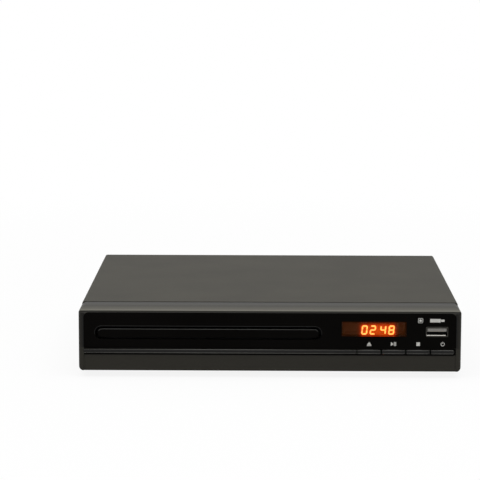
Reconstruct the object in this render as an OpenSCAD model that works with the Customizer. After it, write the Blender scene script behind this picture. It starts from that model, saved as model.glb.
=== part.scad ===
// DVD player with a motor-driven tray.
// Every sub-part is drawn in the body's own frame: x to the right, y back from
// the front face, z up from the underside of the bezel. stand() then puts the
// body on its feet, with the origin under the middle of the whole player.

/* [Body] */
// Width of the front bezel
body_w = 225; // [203:1:247]
// Depth from the front face to the back of the cover
body_d = 200; // [182:1:230]
// Height of the cover above the underside of the bezel
body_h = 37.6; // [34:0.1:42]
// Thickness of the steel sheet
sheet_t = 0.8; // [0.6:0.1:0.9]
// Inner radius of the cover's bends
bend_r = 0.7; // [0.5:0.1:1.2]
// How far the cover stands inside the bezel on each side
cover_inset = 0.5; // [0.3:0.1:0.8]

/* [Front] */
// Depth of the bezel, up to the seam with the cover
bezel_d = 20.9; // [19:0.1:22]
// How far the bezel's top falls towards its front face
bezel_fall = 2.1; // [1.4:0.1:2.3]
// Radius of the bezel's top corners
bezel_top_r = 3.5; // [2.5:0.1:3.9]
// Radius of the bezel's bottom corners
bezel_low_r = 2.7; // [1.5:0.1:3.2]
// Depth of the flat part of the bezel's top
bezel_flat = 8; // [5:0.5:10]
// Wall of the bezel moulding
bezel_t = 1.6; // [1.3:0.1:1.8]
// Bezel rim beside the fascia plate, on each side
fascia_inset = 3.1; // [2.7:0.1:4.5]
// Underside of the fascia plate
fascia_z = 14; // [13.8:0.1:14.4]
// Bezel rim above the fascia plate
fascia_rim = 0.7; // [0.5:0.1:1.3]
// Thickness of the fascia plate
fascia_t = 1.4; // [1.2:0.1:1.6]
// Underside of the trim strip and the buttons
strip_z = 10.5; // [10.3:0.1:10.6]
// Height of the trim strip and the buttons
strip_h = 2.5; // [2.2:0.1:2.6]

/* [Controls] */
// Width of one button
button_w = 13.55; // [12.5:0.05:13.8]
// Distance from one button to the next
button_pitch = 14.4; // [14.3:0.1:14.7]
// How far a button goes in
button_travel = 0.5; // [0.4:0.1:0.6]
// Width of the display window
window_w = 38.1; // [36:0.1:38.4]
// Height of the display window
window_h = 8.8; // [8.4:0.1:9]

/* [Disc tray] */
// Diameter of the disc
disc_d = 120; // [108:1:132]
// Diameter of the small disc
small_disc_d = 80; // [76:1:82]
// Length of the tray that stays inside when it is open
tray_hold = 37.5; // [35:0.5:43]
// Width of the tray beside the disc, on each side
tray_side = 3.5; // [3.2:0.1:3.7]
// Room between the closed tray and the rear panel
tray_rear_gap = 18.9; // [17.5:0.1:22]
// Height of the slot in the fascia
slot_h = 7.9; // [7.6:0.1:8.2]
// Height of the tray's front trim
trim_h = 5; // [4.6:0.1:5.4]

/* [Loader gears] */
// Module of the tray's rack and its gear
rack_mod = 1; // [0.9:0.05:1.05]
// Teeth on the gear that drives the rack
rack_gear_teeth = 18; // [16:1:20]
// Module of the reduction gears
train_mod = 0.8; // [0.7:0.05:0.85]
// Teeth on the reduction wheel
wheel_teeth = 30; // [26:1:32]
// Teeth on the pinion beside the belt pulley
pinion_teeth = 12; // [11:1:14]
// Play between meshing teeth
backlash = 0.16; // [0.12:0.02:0.24]
// Running clearance of a gear on its post, each side
run_gap = 0.05; // [0.03:0.01:0.08]

/* [Deck] */
// Height that the cam slide lifts the deck's front pin
cam_lift = 7.6; // [7.2:0.1:7.8]
// Travel of the cam slide
cam_travel = 16; // [15:0.5:16]
// Radius of the turntable
turntable_r = 16; // [15:0.5:16]
// Travel of the pickup sled
sled_travel = 35; // [33:0.5:36]

/* [Rear] */
// How far the jack barrels stand out behind the cover
jack_out = 8.5; // [7:0.1:9.5]
// Outer radius of a jack barrel
jack_r = 4.15; // [4:0.05:4.3]

/* [Feet] */
// Height of the feet
foot_h = 4; // [3:0.1:6]
// Radius of a foot
foot_r = 8.5; // [7:0.1:9]

/* [Hidden] */

$fn = 64;
eps = 0.01;         // makes a cut reach past the face it opens
fit_gap = 0.1;      // between pieces that seat in one another
part_gap = 0.3;     // between pieces that move past one another
screw_r = 1.5;      // shank of every small screw
screw_head_r = 2.7;
screw_head_h = 1.6;

// depths of the front's surfaces behind its foremost plane
rim_y = 0.4;        // bezel rim
plate_y = 0.6;      // glossy fascia
skirt_y = 0.9;      // lower panel
skirt_top = 9.6;    // where the shadow gap over the lower panel starts
fascia_back = plate_y + fascia_t;
cavity_y = fascia_back + bezel_t;

bezel_top = body_h - 0.2;           // the bezel's top at the seam
bezel_h = bezel_top - bezel_fall;   // and at its front face
fascia_w = body_w - 2 * fascia_inset;
fascia_h = bezel_h - fascia_rim - fascia_z;

// cover and chassis
cover_w = body_w - 2 * cover_inset;
cover_y = bezel_d + 0.2;
roof_z = body_h - sheet_t;          // underside of the cover's top
side_x = cover_w / 2 - sheet_t;     // inner face of the cover's side
pan_x = side_x - 0.2;               // outer face of the chassis side wall
pan_wall_h = 12;
rear_y = body_d - sheet_t;          // outer face of the rear panel
rear_in = rear_y - sheet_t;         // inner face of the rear panel
rear_lip = 6;                       // height of the cover's rear lip
rear_flange = 8;                    // depth of the rear panel's fold over the chassis floor
cover_screw_x = cover_w / 2 - 32;   // of the outer two of the cover's three screws
cover_screw_z = body_h - 3.2;

// tray, its slot and its centre line
slot_left = 9.5;                    // from the side of the bezel to the slot
slot_w = disc_d + 13.6;
slot_z = 18.7;
tray_x = slot_left + slot_w / 2 - body_w / 2;
tray_w = disc_d + 2 * tray_side;
trim_w = tray_w + 3;
trim_z = slot_z + 1.2;
trim_y = 0.9;
trim_t = 3;
tray_y = trim_y + trim_t + fit_gap;
tray_end = rear_in - tray_rear_gap;
tray_travel = tray_end - tray_y - tray_hold;
tray_z = 19.3;                      // underside of the tray's skirts and rack
floor_z = 21.5;                     // underside of the tray's floor
well_z = 23;                        // where the disc lies
tray_top = 24.8;
spindle_y = tray_y + disc_d / 2 + 6;    // the disc's centre with the tray closed
spindle_hole_r = turntable_r + 3;

// loader frame
guide_gap = 0.5;                    // between the tray and the guide walls
frame_wall = 6;
frame_l = tray_x - tray_w / 2 - guide_gap - frame_wall;
frame_r = tray_x + tray_w / 2 + guide_gap + frame_wall;
frame_y = 8;
guide_y = 16.5;                     // where the guide walls start, behind the front board
frame_z = 10.8;                     // underside of the gear plate
frame_t = 1.5;
gear_plate_z = frame_z + frame_t;
guide_top = 26.5;

// gear train, from the rack to the motor
rack_gear_r = rack_mod * rack_gear_teeth / 2;
wheel_r = train_mod * wheel_teeth / 2;
pinion_r = train_mod * pinion_teeth / 2;
drive_y = 24;
drive_x = tray_x + 39;
rack_teeth = ceil((tray_travel + 8) / (PI * rack_mod));     // behind the gear
rack_x = drive_x + rack_gear_r;     // pitch line of the rack
pulley_x = drive_x - wheel_r - pinion_r;
pulley_belt_r = 10.5;               // radius of the belt's centre line
motor_belt_r = 2.6;
motor_x = pulley_x - 34.2;
belt_t = 1.2;
belt_z = 13.4;
train_z = 15.6;                     // underside of the reduction gears
train_t = 1.8;
rack_gear_z = tray_z + 0.15;
rack_gear_t = 1.75;
post_r = 1.5;

// deck, drawn level and then tilted down about its pivot
deck_w = 78;
deck_l = tray_x - deck_w / 2;
deck_r = tray_x + deck_w / 2;
deck_y = 46;
deck_z = 9;
deck_top = 15.4;
deck_wall = 3.5;
pivot_z = 12.5;
pin_r = 1.2;
trunnion_r = 2;
pin_y = deck_y - 4.4;               // middle of the cam slide's web
pin_offset = 22;                    // of each front pin from the centre line
plate_z = 12.6;                     // underside of the mechanism plate
plate_t = 1.2;
bush_inset = 11;                    // of the bushes and the lead screw from the deck's sides
bush_x = deck_w / 2 - bush_inset;
bush_front_y = deck_y + 9;
rod_x = bush_x - 10;
rod_z = 10.2;
rod_r = 1.5;
screw_line_x = bush_x;
screw_line_z = 8.6;
lead_r = 1.5;
sled_y = spindle_y + 13;            // front of the sled at its inner stop
sled_len = 24;
rod_front_y = sled_y - plate_t - 0.5;
rod_rear_y = sled_y + sled_len + sled_travel + 5.5;
sled_motor_y = rod_rear_y - 7.5;
sled_motor_len = 11;
lens_y = spindle_y + 23;
deck_end = rod_rear_y + 7.5;
bush_rear_y = deck_end - 9;
pivot_y = deck_end - 19;
deck_tilt = asin(cam_lift / (pivot_y - pin_y));
frame_end = deck_end + 7;
post_inset = 16;                    // of the loader's posts from the frame's sides

// clamp bridge over the tray
bridge_y = spindle_y - 18;
bridge_d = 36;
bridge_z = roof_z - 3.2;
bridge_t = 1;
clamp_r = 14;
clamp_neck_r = 9.5;
clamp_bottom = tray_top + 1.1;

// boards and connectors
board_z = 5;
board_t = 1.6;
board_top = board_z + board_t;
board_back = rear_in - 1;
power_l = body_w / 2 - 48.5;
power_r = body_w / 2 - 4.5;
power_y = board_back - 79.4;
main_l = frame_l + 6;
main_r = power_l - 2.2;
main_y = board_back - 32.4;
chip_w = 16;
chip_x = main_r - 15.5;
chip_y = main_y + 14.2;
inlet_x = body_w / 2 - 24;
inlet_z = 14;
scart_x = main_l + 30;
scart_z = 16;
hdmi_x = main_r - 11.5;
jack_x = hdmi_x - 56;
jack_pitch = 12;
jack_count = 4;
jack_z = 14;
jack_wall = 0.5;
jack_fit = 0.02;                // between the shell, its insert and the block
jack_neck_r = jack_r - 0.95;    // tail of the shell
jack_boss_r = jack_r + 0.25;    // the block's boss round that tail, through the rear panel
jack_pin_r = 1.7;               // hole for the plug's pin
jack_tail_y = rear_in - 3;
jack_seat_y = body_d + 0.5;     // floor of the shell's cup

// front board, buttons, display and USB socket
front_board_y = 12;
front_board_r = body_w / 2 - 3.6;
front_board_top = bezel_h - 2.1;
button_first_x = body_w / 2 - 54.1;
button_end_x = button_first_x + 3 * button_pitch + button_w / 2;
button_mid_z = strip_z + strip_h / 2;
usb_z = 23.75;
usb_w = 12.9;
usb_h = 5.9;
usb_t = 0.35;
// the fascia beside the slot holds the window and the socket; these parts of what it has to spare
// lie left of the window and right of the socket
slot_right = tray_x + slot_w / 2;
front_spare = fascia_w / 2 - slot_right - window_w - usb_w;
window_part = 0.417;
usb_part = 0.171;
window_l = slot_right + window_part * front_spare;
window_r = window_l + window_w;
window_z = 25.3;
usb_r = fascia_w / 2 - usb_part * front_spare;
usb_x = usb_r - usb_w / 2;
front_board_l = window_l - 4.4;
ir_x = window_r + (usb_r - window_r) / 3;
ir_z = fascia_z + fascia_h - 3.9;

cable_x = main_r - 14.5;
cable_w = 12;
cable_t = 0.3;
cable_z = 10;       // where it meets the front board

// feet
foot_x = body_w / 2 - 16;
foot_front_y = 40;
foot_rear_y = body_d - 20;

plastic_black = [0.10, 0.10, 0.10];
plastic_white = [0.86, 0.86, 0.83];
steel = [0.72, 0.73, 0.74];
board_green = [0.10, 0.34, 0.20];

// ---------- placing and profiles ----------

// From the body's frame to the finished player's.
module stand() {
    translate([0, -(body_d + jack_out) / 2, foot_h]) children();
}

// Extrudes a front view (x, z) back from depth y.
module from_front(y, depth) {
    translate([0, y + depth, 0]) rotate([90, 0, 0]) linear_extrude(depth) children();
}

// Extrudes a side view (y, z) to the right from x.
module from_side(x, width) {
    translate([x, 0, 0]) rotate([90, 0, 90]) linear_extrude(width) children();
}

// Extrudes a plan view (x, y) up from z.
module from_above(z, height) {
    translate([0, 0, z]) linear_extrude(height) children();
}

// A rectangle from one corner to the other.
module area(x1, y1, x2, y2) {
    translate([x1, y1]) square([x2 - x1, y2 - y1]);
}

// A block from one corner to the other.
module block(low, high) {
    translate(low) cube(high - low);
}

// A rectangle from corner to corner with rounded corners.
module round_area(x1, y1, x2, y2, r) {
    area(x1 + r, y1, x2 - r, y2);
    area(x1, y1 + r, x2, y2 - r);
    for (x = [x1 + r, x2 - r], y = [y1 + r, y2 - r]) translate([x, y]) circle(r);
}

// A long slot shape with round ends.
module pill(x1, y1, x2, y2) {
    round_area(x1, y1, x2, y2, (y2 - y1) / 2 - eps);
}

module rod_along_y(x, y, z, length, r) {
    translate([x, y + length, z]) rotate([90, 0, 0]) cylinder(length, r = r);
}

module rod_along_x(x, y, z, length, r) {
    translate([x, y, z]) rotate([0, 90, 0]) cylinder(length, r = r);
}

// A pan-head screw driven down, its head's underside at the origin.
module screw_down(length) {
    translate([0, 0, -length]) cylinder(length + eps, r = screw_r);
    difference() {
        cylinder(screw_head_h, r = screw_head_r);
        for (turn = [0, 90]) translate([0, 0, screw_head_h]) rotate(turn)
            cube([2.6, 0.6, 1.6], center = true);
    }
}

// ---------- gears ----------

function involute(angle_tan) = angle_tan * 180 / PI - atan(angle_tan);
function base_r(r) = r * cos(20);
function half_tooth(r, teeth, at_r) =
    90 / teeth - backlash / 4 / r * 180 / PI + involute(tan(20))
    - involute(sqrt(max(0, pow(max(at_r, base_r(r)) / base_r(r), 2) - 1)));
function polar(r, a) = [r * cos(a), r * sin(a)];

// Points of one tooth, from root to tip and back, about the angle mid.
function tooth(mid, r, teeth, mod) =
    let (root = r - 1.2 * mod, tip = r + 0.95 * mod,
        steps = [root, max(root, base_r(r)) + 0.1 * mod, r, r + 0.5 * mod, tip])
    concat([for (s = steps) polar(s, mid - half_tooth(r, teeth, s))],
        [for (i = [len(steps) - 1:-1:0]) polar(steps[i], mid + half_tooth(r, teeth, steps[i]))]);

module gear_outline(teeth, mod, first = 0) {
    polygon([for (i = [0:teeth - 1]) each tooth(first + i * 360 / teeth, mod * teeth / 2, teeth, mod)]);
}

// A straight rack along y with its teeth pointing to -x, a gap centred at gap_y.
module rack_outline(gap_y, below, above, mod, back) {
    pitch = PI * mod;
    half_w = pitch / 4 - backlash / 4;
    polygon(concat([[back, gap_y + above * pitch], [back, gap_y - below * pitch]],
        [for (i = [-below:above - 1]) let (mid = gap_y + (i + 0.5) * pitch) each [
            [1.2 * mod, mid - half_w - 1.2 * mod * tan(20)],
            [-0.95 * mod, mid - half_w + 0.95 * mod * tan(20)],
            [-0.95 * mod, mid + half_w - 0.95 * mod * tan(20)],
            [1.2 * mod, mid + half_w + 1.2 * mod * tan(20)]]]));
}

// ---------- housing ----------

module chassis_floor_holes() {
    for (x = [-foot_x, foot_x], y = [foot_front_y, foot_rear_y]) translate([x, y]) circle(2.3);
    for (i = [0:8]) translate([power_l + 6 + i * 4, power_y + 18]) rotate(90) pill(0, -0.9, 22, 0.9);
}

module rear_openings() {
    round_area(inlet_x - 11.3, inlet_z - 6.3, inlet_x + 11.3, inlet_z + 6.3, 1);
    area(scart_x - 23.8, board_top - fit_gap, scart_x + 23.8, scart_z + 7.4);
    area(hdmi_x - 7.9, board_top - fit_gap, hdmi_x + 7.9, board_top + 6.2);
    for (i = [0:jack_count - 1])
        translate([jack_x + i * jack_pitch, jack_z]) circle(jack_boss_r + 0.25);
    for (i = [0:9]) translate([inlet_x - 18 + i * 4, 24.5]) area(-1, 0, 1, 4);
}

module chassis_base() {
    color(steel) stand() {
        difference() {
            union() {
                block([-pan_x, cover_y, 0], [pan_x, rear_in, sheet_t]);
                for (side = [-1, 1]) translate([side * (pan_x - sheet_t / 2), 0, 0])
                    block([-sheet_t / 2, bezel_d + 5, 0], [sheet_t / 2, rear_in, pan_wall_h]);
            }
            from_above(-eps, sheet_t + 2 * eps) chassis_floor_holes();
        }
        // posts under the loader and the boards
        for (p = loader_posts) translate([p[0], p[1], sheet_t]) difference() {
            cylinder(frame_z - sheet_t, r = 4);
            translate([0, 0, 2]) cylinder(frame_z, r = screw_r);
        }
        for (p = concat(main_posts, power_posts)) translate([p[0], p[1], sheet_t]) difference() {
            cylinder(board_z - sheet_t, r = 3);
            translate([0, 0, 1]) cylinder(board_z, r = screw_r);
        }
    }
}

loader_posts = [for (x = [frame_l + post_inset, frame_r - post_inset], y = [drive_y + 8, frame_end - 24])
    [x, y]];
main_posts = [[main_l + 4, main_y + 4], [main_r - 4, main_y + 14], [tray_x - 4, main_y + 4]];
power_posts = [for (x = [power_l + 4, power_r - 4], y = [power_y + 4, power_y + 60]) [x, y]];

module rear_panel() {
    color(steel) stand() {
        difference() {
            from_front(rear_in, sheet_t) intersection() {
                cover_profile(-sheet_t - 0.2);
                area(-pan_x, 0, pan_x, roof_z);
            }
            from_front(rear_in - eps, sheet_t + 2 * eps) rear_openings();
            for (x = [-1, 0, 1]) rod_along_y(x * cover_screw_x, rear_in - eps, cover_screw_z, 2, screw_r);
        }
        // fold over the chassis floor
        block([-pan_x + 2, rear_in - rear_flange, sheet_t], [pan_x - 2, rear_in + eps, 2 * sheet_t]);
    }
}

module cover_profile(grow) {
    // the folded section, seen from the front; grow < 0 gives its inner face
    r = bend_r + sheet_t + grow;
    x = cover_w / 2 + grow;
    z = body_h + grow;
    area(-x, -1, x, z - r);
    area(-x + r, z - r - eps, x - r, z);
    for (side = [-1, 1]) translate([side * (x - r), z - r]) circle(r);
}

module top_cover() {
    color([0.37, 0.36, 0.345]) stand() {
        intersection() {
            from_front(cover_y, body_d - cover_y) difference() {
                cover_profile(0);
                cover_profile(-sheet_t);
            }
            block([-body_w, 0, 0.3], [body_w, body_d, body_h]);
        }
        // rear lip, folded down outside the rear panel
        difference() {
            from_front(rear_y, sheet_t) intersection() {
                cover_profile(0);
                area(-side_x - sheet_t / 2, body_h - rear_lip, side_x + sheet_t / 2, body_h);
            }
            for (x = [-1, 0, 1])
                rod_along_y(x * cover_screw_x, rear_y - eps, cover_screw_z, 2, screw_r + 0.15);
        }
    }
}

module cover_screws() {
    color([0.2, 0.2, 0.2]) stand()
        for (x = [-1, 0, 1])
            translate([x * cover_screw_x, body_d, cover_screw_z]) rotate([-90, 0, 0]) screw_down(0.7);
}

module feet() {
    color([0.13, 0.13, 0.13]) stand()
        for (x = [-foot_x, foot_x], y = [foot_front_y, foot_rear_y]) translate([x, y, -foot_h]) {
            difference() {
                union() {
                    translate([0, 0, 0.6]) cylinder(foot_h - 0.6, r = foot_r);
                    cylinder(0.7, foot_r - 0.6, foot_r);
                }
                translate([0, 0, -eps]) cylinder(1, r = foot_r - 3);
            }
            translate([0, 0, foot_h - eps]) cylinder(sheet_t + 1.4, r = 2.2);
        }
}

// Front view of the bezel.
module bezel_front_view(inset) {
    x = body_w / 2 - inset;
    top = bezel_top - inset;
    r_top = bezel_top_r - inset;
    r_low = bezel_low_r - inset;
    area(-x, inset + r_low, x, top - r_top);
    area(-x + r_low, inset, x - r_low, inset + r_low + eps);
    area(-x + r_top, top - r_top - eps, x - r_top, top);
    for (side = [-1, 1]) {
        translate([side * (x - r_top), top - r_top]) circle(r_top);
        translate([side * (x - r_low), inset + r_low]) circle(r_low);
    }
}

// Side view of the bezel: flat by the seam, then a slow curve down to the front edge.
module bezel_side_view(inset) {
    top = bezel_top;
    run = bezel_d - bezel_flat - rim_y;
    fall_r = (run * run + bezel_fall * bezel_fall) / (2 * bezel_fall);
    front = rim_y + (inset > 0 ? cavity_y - rim_y : 0);
    difference() {
        union() {
            area(front, inset, bezel_d + eps, bezel_h - inset - 1);
            intersection() {
                area(front, inset, bezel_d + eps, top - inset);
                union() {
                    area(bezel_d - bezel_flat, 0, bezel_d + eps, top - inset);
                    translate([bezel_d - bezel_flat, top - fall_r]) circle(fall_r - inset, $fn = 180);
                }
            }
        }
        if (inset == 0) difference() {
            area(front - 1, bezel_h - 1.4, front + 0.9, top);
            translate([front + 0.9, bezel_h - 1.2]) circle(0.9);
            area(front + 0.9, bezel_h - 2, front + 2, top);
        }
    }
}

// Plan of the bezel: its sides turn into the front with a small radius.
module bezel_plan(inset) {
    x = body_w / 2 - inset;
    front = rim_y + (inset > 0 ? cavity_y - rim_y : 0);
    r = inset > 0 ? 1 : 2.2;
    area(-x, front + r, x, bezel_d + eps);
    area(-x + r, front, x - r, bezel_d);
    for (side = [-1, 1]) translate([side * (x - r), front + r]) circle(r);
}

module bezel_solid(inset) {
    intersection() {
        from_front(rim_y - 1, bezel_d - rim_y + 1) bezel_front_view(inset);
        from_side(-body_w, 2 * body_w) bezel_side_view(inset);
        from_above(-1, body_h + 2) bezel_plan(inset);
    }
}

module slot_outline(grow) {
    pill(tray_x - slot_w / 2 - grow, slot_z - grow, slot_right + grow, slot_z + slot_h + grow);
}

module window_outline(grow) {
    round_area(window_l - grow, window_z - window_h / 2 - grow,
        window_r + grow, window_z + window_h / 2 + grow, max(0.2, 0.5 + grow));
}

module usb_outline(grow) {
    round_area(usb_x - usb_w / 2 - grow, usb_z - usb_h / 2 - grow,
        usb_r + grow, usb_z + usb_h / 2 + grow, 0.5 + max(grow, -0.2));
}

module fascia_outline(grow) {
    x = fascia_w / 2 + grow;
    top = fascia_z + fascia_h + grow;
    r = bezel_top_r - 0.6;
    area(-x, fascia_z - grow, x, top - r);
    area(-x + r, top - r - eps, x - r, top);
    for (side = [-1, 1]) translate([side * (x - r), top - r]) circle(r);
}

// The channel that the strip and the buttons share, with one round end.
module strip_outline(grow, x1, x2) {
    r = strip_h / 2 + grow;
    area(x1, strip_z - grow, x2 - r, strip_z + strip_h + grow);
    translate([x2 - r, button_mid_z]) circle(r);
}

module front_bezel() {
    color([0.17, 0.165, 0.155]) stand() difference() {
        union() {
            difference() {
                bezel_solid(0);
                bezel_solid(bezel_t);
                from_front(bezel_d - 1, 2) bezel_front_view(bezel_t);
            }
            // tongues that reach under the cover and over the chassis floor
            block([-side_x + 8, bezel_d - 4, roof_z - 1.8], [side_x - 8, bezel_d + 5, roof_z - part_gap]);
            block([-side_x + 8, bezel_d - 4, sheet_t + fit_gap], [side_x - 8, bezel_d + 4, bezel_t + 0.4]);
            // bosses for the front board
            for (p = front_posts) difference() {
                rod_along_y(p[0], cavity_y - eps, p[1], front_board_y - cavity_y + eps, 2.2);
                rod_along_y(p[0], front_board_y - 6, p[1], 7, screw_r);
            }
        }
        from_front(-1, fascia_back + 1) fascia_outline(fit_gap);
        from_front(-1, skirt_y + 1) area(-fascia_w / 2 - fit_gap, -1, fascia_w / 2 + fit_gap, skirt_top);
        from_front(-1, skirt_y + 2) area(-fascia_w / 2, skirt_top - eps, fascia_w / 2, fascia_z);
        from_front(-1, cavity_y + 2) slot_outline(fit_gap);
        from_front(-1, cavity_y + 2) window_outline(-0.8);
        from_front(-1, cavity_y + 2) usb_outline(fit_gap);
        from_front(-1, cavity_y + 2) strip_outline(part_gap, button_first_x - button_w / 2 - part_gap,
            button_end_x + part_gap);
        rod_along_y(ir_x, -1, ir_z, cavity_y + 2, 2);
    }
}

front_posts = [[front_board_l + 2.6, front_board_top - 5.2], [usb_x + 2, 17.4], [front_board_l + 2.6, 7]];

module fascia() {
    color([0.03, 0.03, 0.03]) stand() difference() {
        from_front(plate_y, fascia_t) fascia_outline(0);
        from_front(0, 4) slot_outline(0);
        from_front(0, 4) window_outline(0);
        from_front(0, 4) usb_outline(fit_gap);
    }
}

module display_window() {
    color([0.20, 0.05, 0.03, 0.7]) stand() from_front(plate_y, fascia_t) window_outline(-0.05);
}

// Front face with its top and bottom edges cut back at a slant.
module strip_section(depth) {
    cut = 0.6;
    polygon([[cut, strip_z], [0, strip_z + cut], [0, strip_z + strip_h - cut], [cut, strip_z + strip_h],
        [depth, strip_z + strip_h], [depth, strip_z]]);
}

module trim_strip() {
    color([0.2, 0.2, 0.19]) stand()
        from_side(-fascia_w / 2, fascia_w / 2 + button_first_x - button_w / 2 - 0.65)
            strip_section(skirt_y + 1);
}

// One push button: a cap, a stem through the bezel and a foot in front of its switch.
module button(index) {
    x = button_first_x + index * button_pitch;
    last = index == 3;
    color([0.2, 0.2, 0.19]) stand() {
        intersection() {
            from_side(x - button_w / 2, button_w) strip_section(4.6);
            from_front(-1, 8) {
                if (last) strip_outline(0, x - button_w / 2, x + button_w / 2);
                else area(x - button_w / 2, 0, x + button_w / 2, bezel_h);
            }
        }
        block([x - 1.5, 4.5, button_mid_z - 1],
            [x + 1.5, tact_y - part_gap - button_travel, button_mid_z + 1]);
        // ears behind the bezel wall keep the cap in
        block([x - button_w / 2 + 1, cavity_y + part_gap, strip_z - 1],
            [x + button_w / 2 - 1, cavity_y + 1.2, strip_z + strip_h + 1]);
    }
}

tact_y = 8.4;       // front of a switch's plunger

module button_open() {
    button(0);
}

module button_play() {
    button(1);
}

module button_stop() {
    button(2);
}

module button_standby() {
    button(3);
}

usb_y = plate_y + 0.2;

module usb_socket() {
    color([0.8, 0.8, 0.8]) stand() difference() {
        from_front(usb_y, front_board_y - usb_y) usb_outline(0);
        from_front(usb_y - 1, front_board_y - usb_y - sheet_t + 1) usb_outline(-usb_t);
    }
}

// Tongue in the upper half of the socket, with the block behind it.
module usb_tongue() {
    back = front_board_y - sheet_t;
    color([0.07, 0.07, 0.07]) stand() {
        from_front(back - 2, 2) usb_outline(-usb_t);
        block([usb_x - 5.6, usb_y + 0.6, usb_z + 0.1], [usb_x + 5.6, back - 1, usb_z + 2]);
    }
}

module front_board() {
    color(board_green) stand() difference() {
        from_front(front_board_y, board_t) area(front_board_l, 4, front_board_r, front_board_top);
        for (p = front_posts) rod_along_y(p[0], front_board_y - 1, p[1], 4, screw_r + 0.15);
    }
}

module front_screws() {
    color(steel) stand() for (p = front_posts)
        translate([p[0], front_board_y + board_t, p[1]]) rotate([-90, 0, 0]) screw_down(1.7);
}

module tact_switches() {
    color([0.25, 0.25, 0.25]) stand() for (i = [0:3])
        translate([button_first_x + i * button_pitch, 0, button_mid_z]) {
            block([-3, tact_y + 0.8, -3], [3, front_board_y, 3]);
            rod_along_y(0, tact_y, 0, 1, 1.6);
        }
}

module display_module() {
    color([0.9, 0.9, 0.88]) stand() difference() {
        from_front(cavity_y + 0.2, front_board_y - cavity_y - 0.2) window_outline(-0.9);
        from_front(cavity_y, 1) window_outline(-1.9);
    }
}

module ir_receiver() {
    color([0.08, 0.08, 0.1]) stand() {
        block([ir_x - 2.6, cavity_y + 1.6, ir_z - 3.2], [ir_x + 2.6, front_board_y, ir_z + 3.2]);
        translate([ir_x, cavity_y + 1.8, ir_z]) sphere(1.8);
    }
}

// ---------- loader ----------

module loader_frame() {
    front_l = tray_x - tray_w / 2 + 2;
    front_r = tray_x + tray_w / 2 - 2;
    color([0.16, 0.16, 0.17]) stand() difference() {
        union() {
            // gear plate, open over the deck and the cam slide
            from_above(frame_z, frame_t) difference() {
                union() {
                    area(front_l, frame_y, front_r, guide_y + eps);
                    area(frame_l, guide_y, frame_r, frame_end);
                }
                area(deck_l - 1, pin_y - 2, deck_r + 1, deck_end + 2);
                area(deck_l - 6, pin_y - 1.9, deck_r + 8, pin_y + 2.4);
            }
            // guide walls, with a ledge below the tray and tabs above it
            for (side = [-1, 1]) {
                inner = tray_x + side * (tray_w / 2 + guide_gap);
                outer = inner + side * frame_wall;
                block([min(inner, outer), guide_y, frame_z], [max(inner, outer), frame_end, guide_top]);
                ledge = inner - side * 4;
                block([min(inner, ledge), guide_y, tray_z - 2.2],
                    [max(inner, ledge), frame_end, tray_z - part_gap]);
                for (y = [guide_y + 1, guide_y + 16, frame_end - 20])
                    block([min(inner, ledge), y, tray_top + part_gap],
                        [max(inner, ledge), y + 8, guide_top]);
            }
            // front and rear cross walls, below the tray
            block([front_l, frame_y, frame_z], [front_r, frame_y + 2, tray_z - 0.8]);
            block([frame_l, frame_end - 2, frame_z], [frame_r, frame_end, tray_z - 0.8]);
            // posts of the gears
            translate([drive_x, drive_y, frame_z]) cylinder(rack_gear_z + rack_gear_t - frame_z, r = post_r);
            translate([pulley_x, drive_y, frame_z]) cylinder(train_z + train_t - frame_z + 0.4, r = post_r);
            // hooks over the cam slide
            for (x = [tray_x - pin_offset, tray_x + 6]) {
                block([x - 2.5, pin_y - 6.9, frame_z], [x + 2.5, pin_y - 5.6, slide_top + part_gap + 1]);
                block([x - 2.5, pin_y - 6.9, slide_top + part_gap],
                    [x + 2.5, pin_y - 3.6, slide_top + part_gap + 1]);
            }
            // bearings of the deck's pivot
            for (x = [deck_l - 4.4, deck_r + 1.2])
                block([x, pivot_y - 4, frame_z], [x + 3.2, pivot_y + 4, pivot_z + 4]);
        }
        for (x = [deck_l - 5.4, deck_r + 0.4]) rod_along_x(x, pivot_y, pivot_z, 5, trunnion_r + run_gap);
        for (p = loader_posts) translate([p[0], p[1], frame_z - 1]) cylinder(4, r = screw_r + 0.15);
        for (p = bridge_screws) translate([p[0], p[1], guide_top - 8]) cylinder(9, r = screw_r);
        translate([motor_x, drive_y, frame_z - 1]) cylinder(4, r = 3.6);
    }
}

bridge_screws = [for (x = [frame_l + frame_wall / 2, frame_r - frame_wall / 2]) [x, spindle_y]];

module loader_screws() {
    color(steel) stand() {
        for (p = loader_posts) translate([p[0], p[1], gear_plate_z]) screw_down(6);
        for (p = bridge_screws) translate([p[0], p[1], guide_top + bridge_t]) screw_down(6);
    }
}

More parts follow.
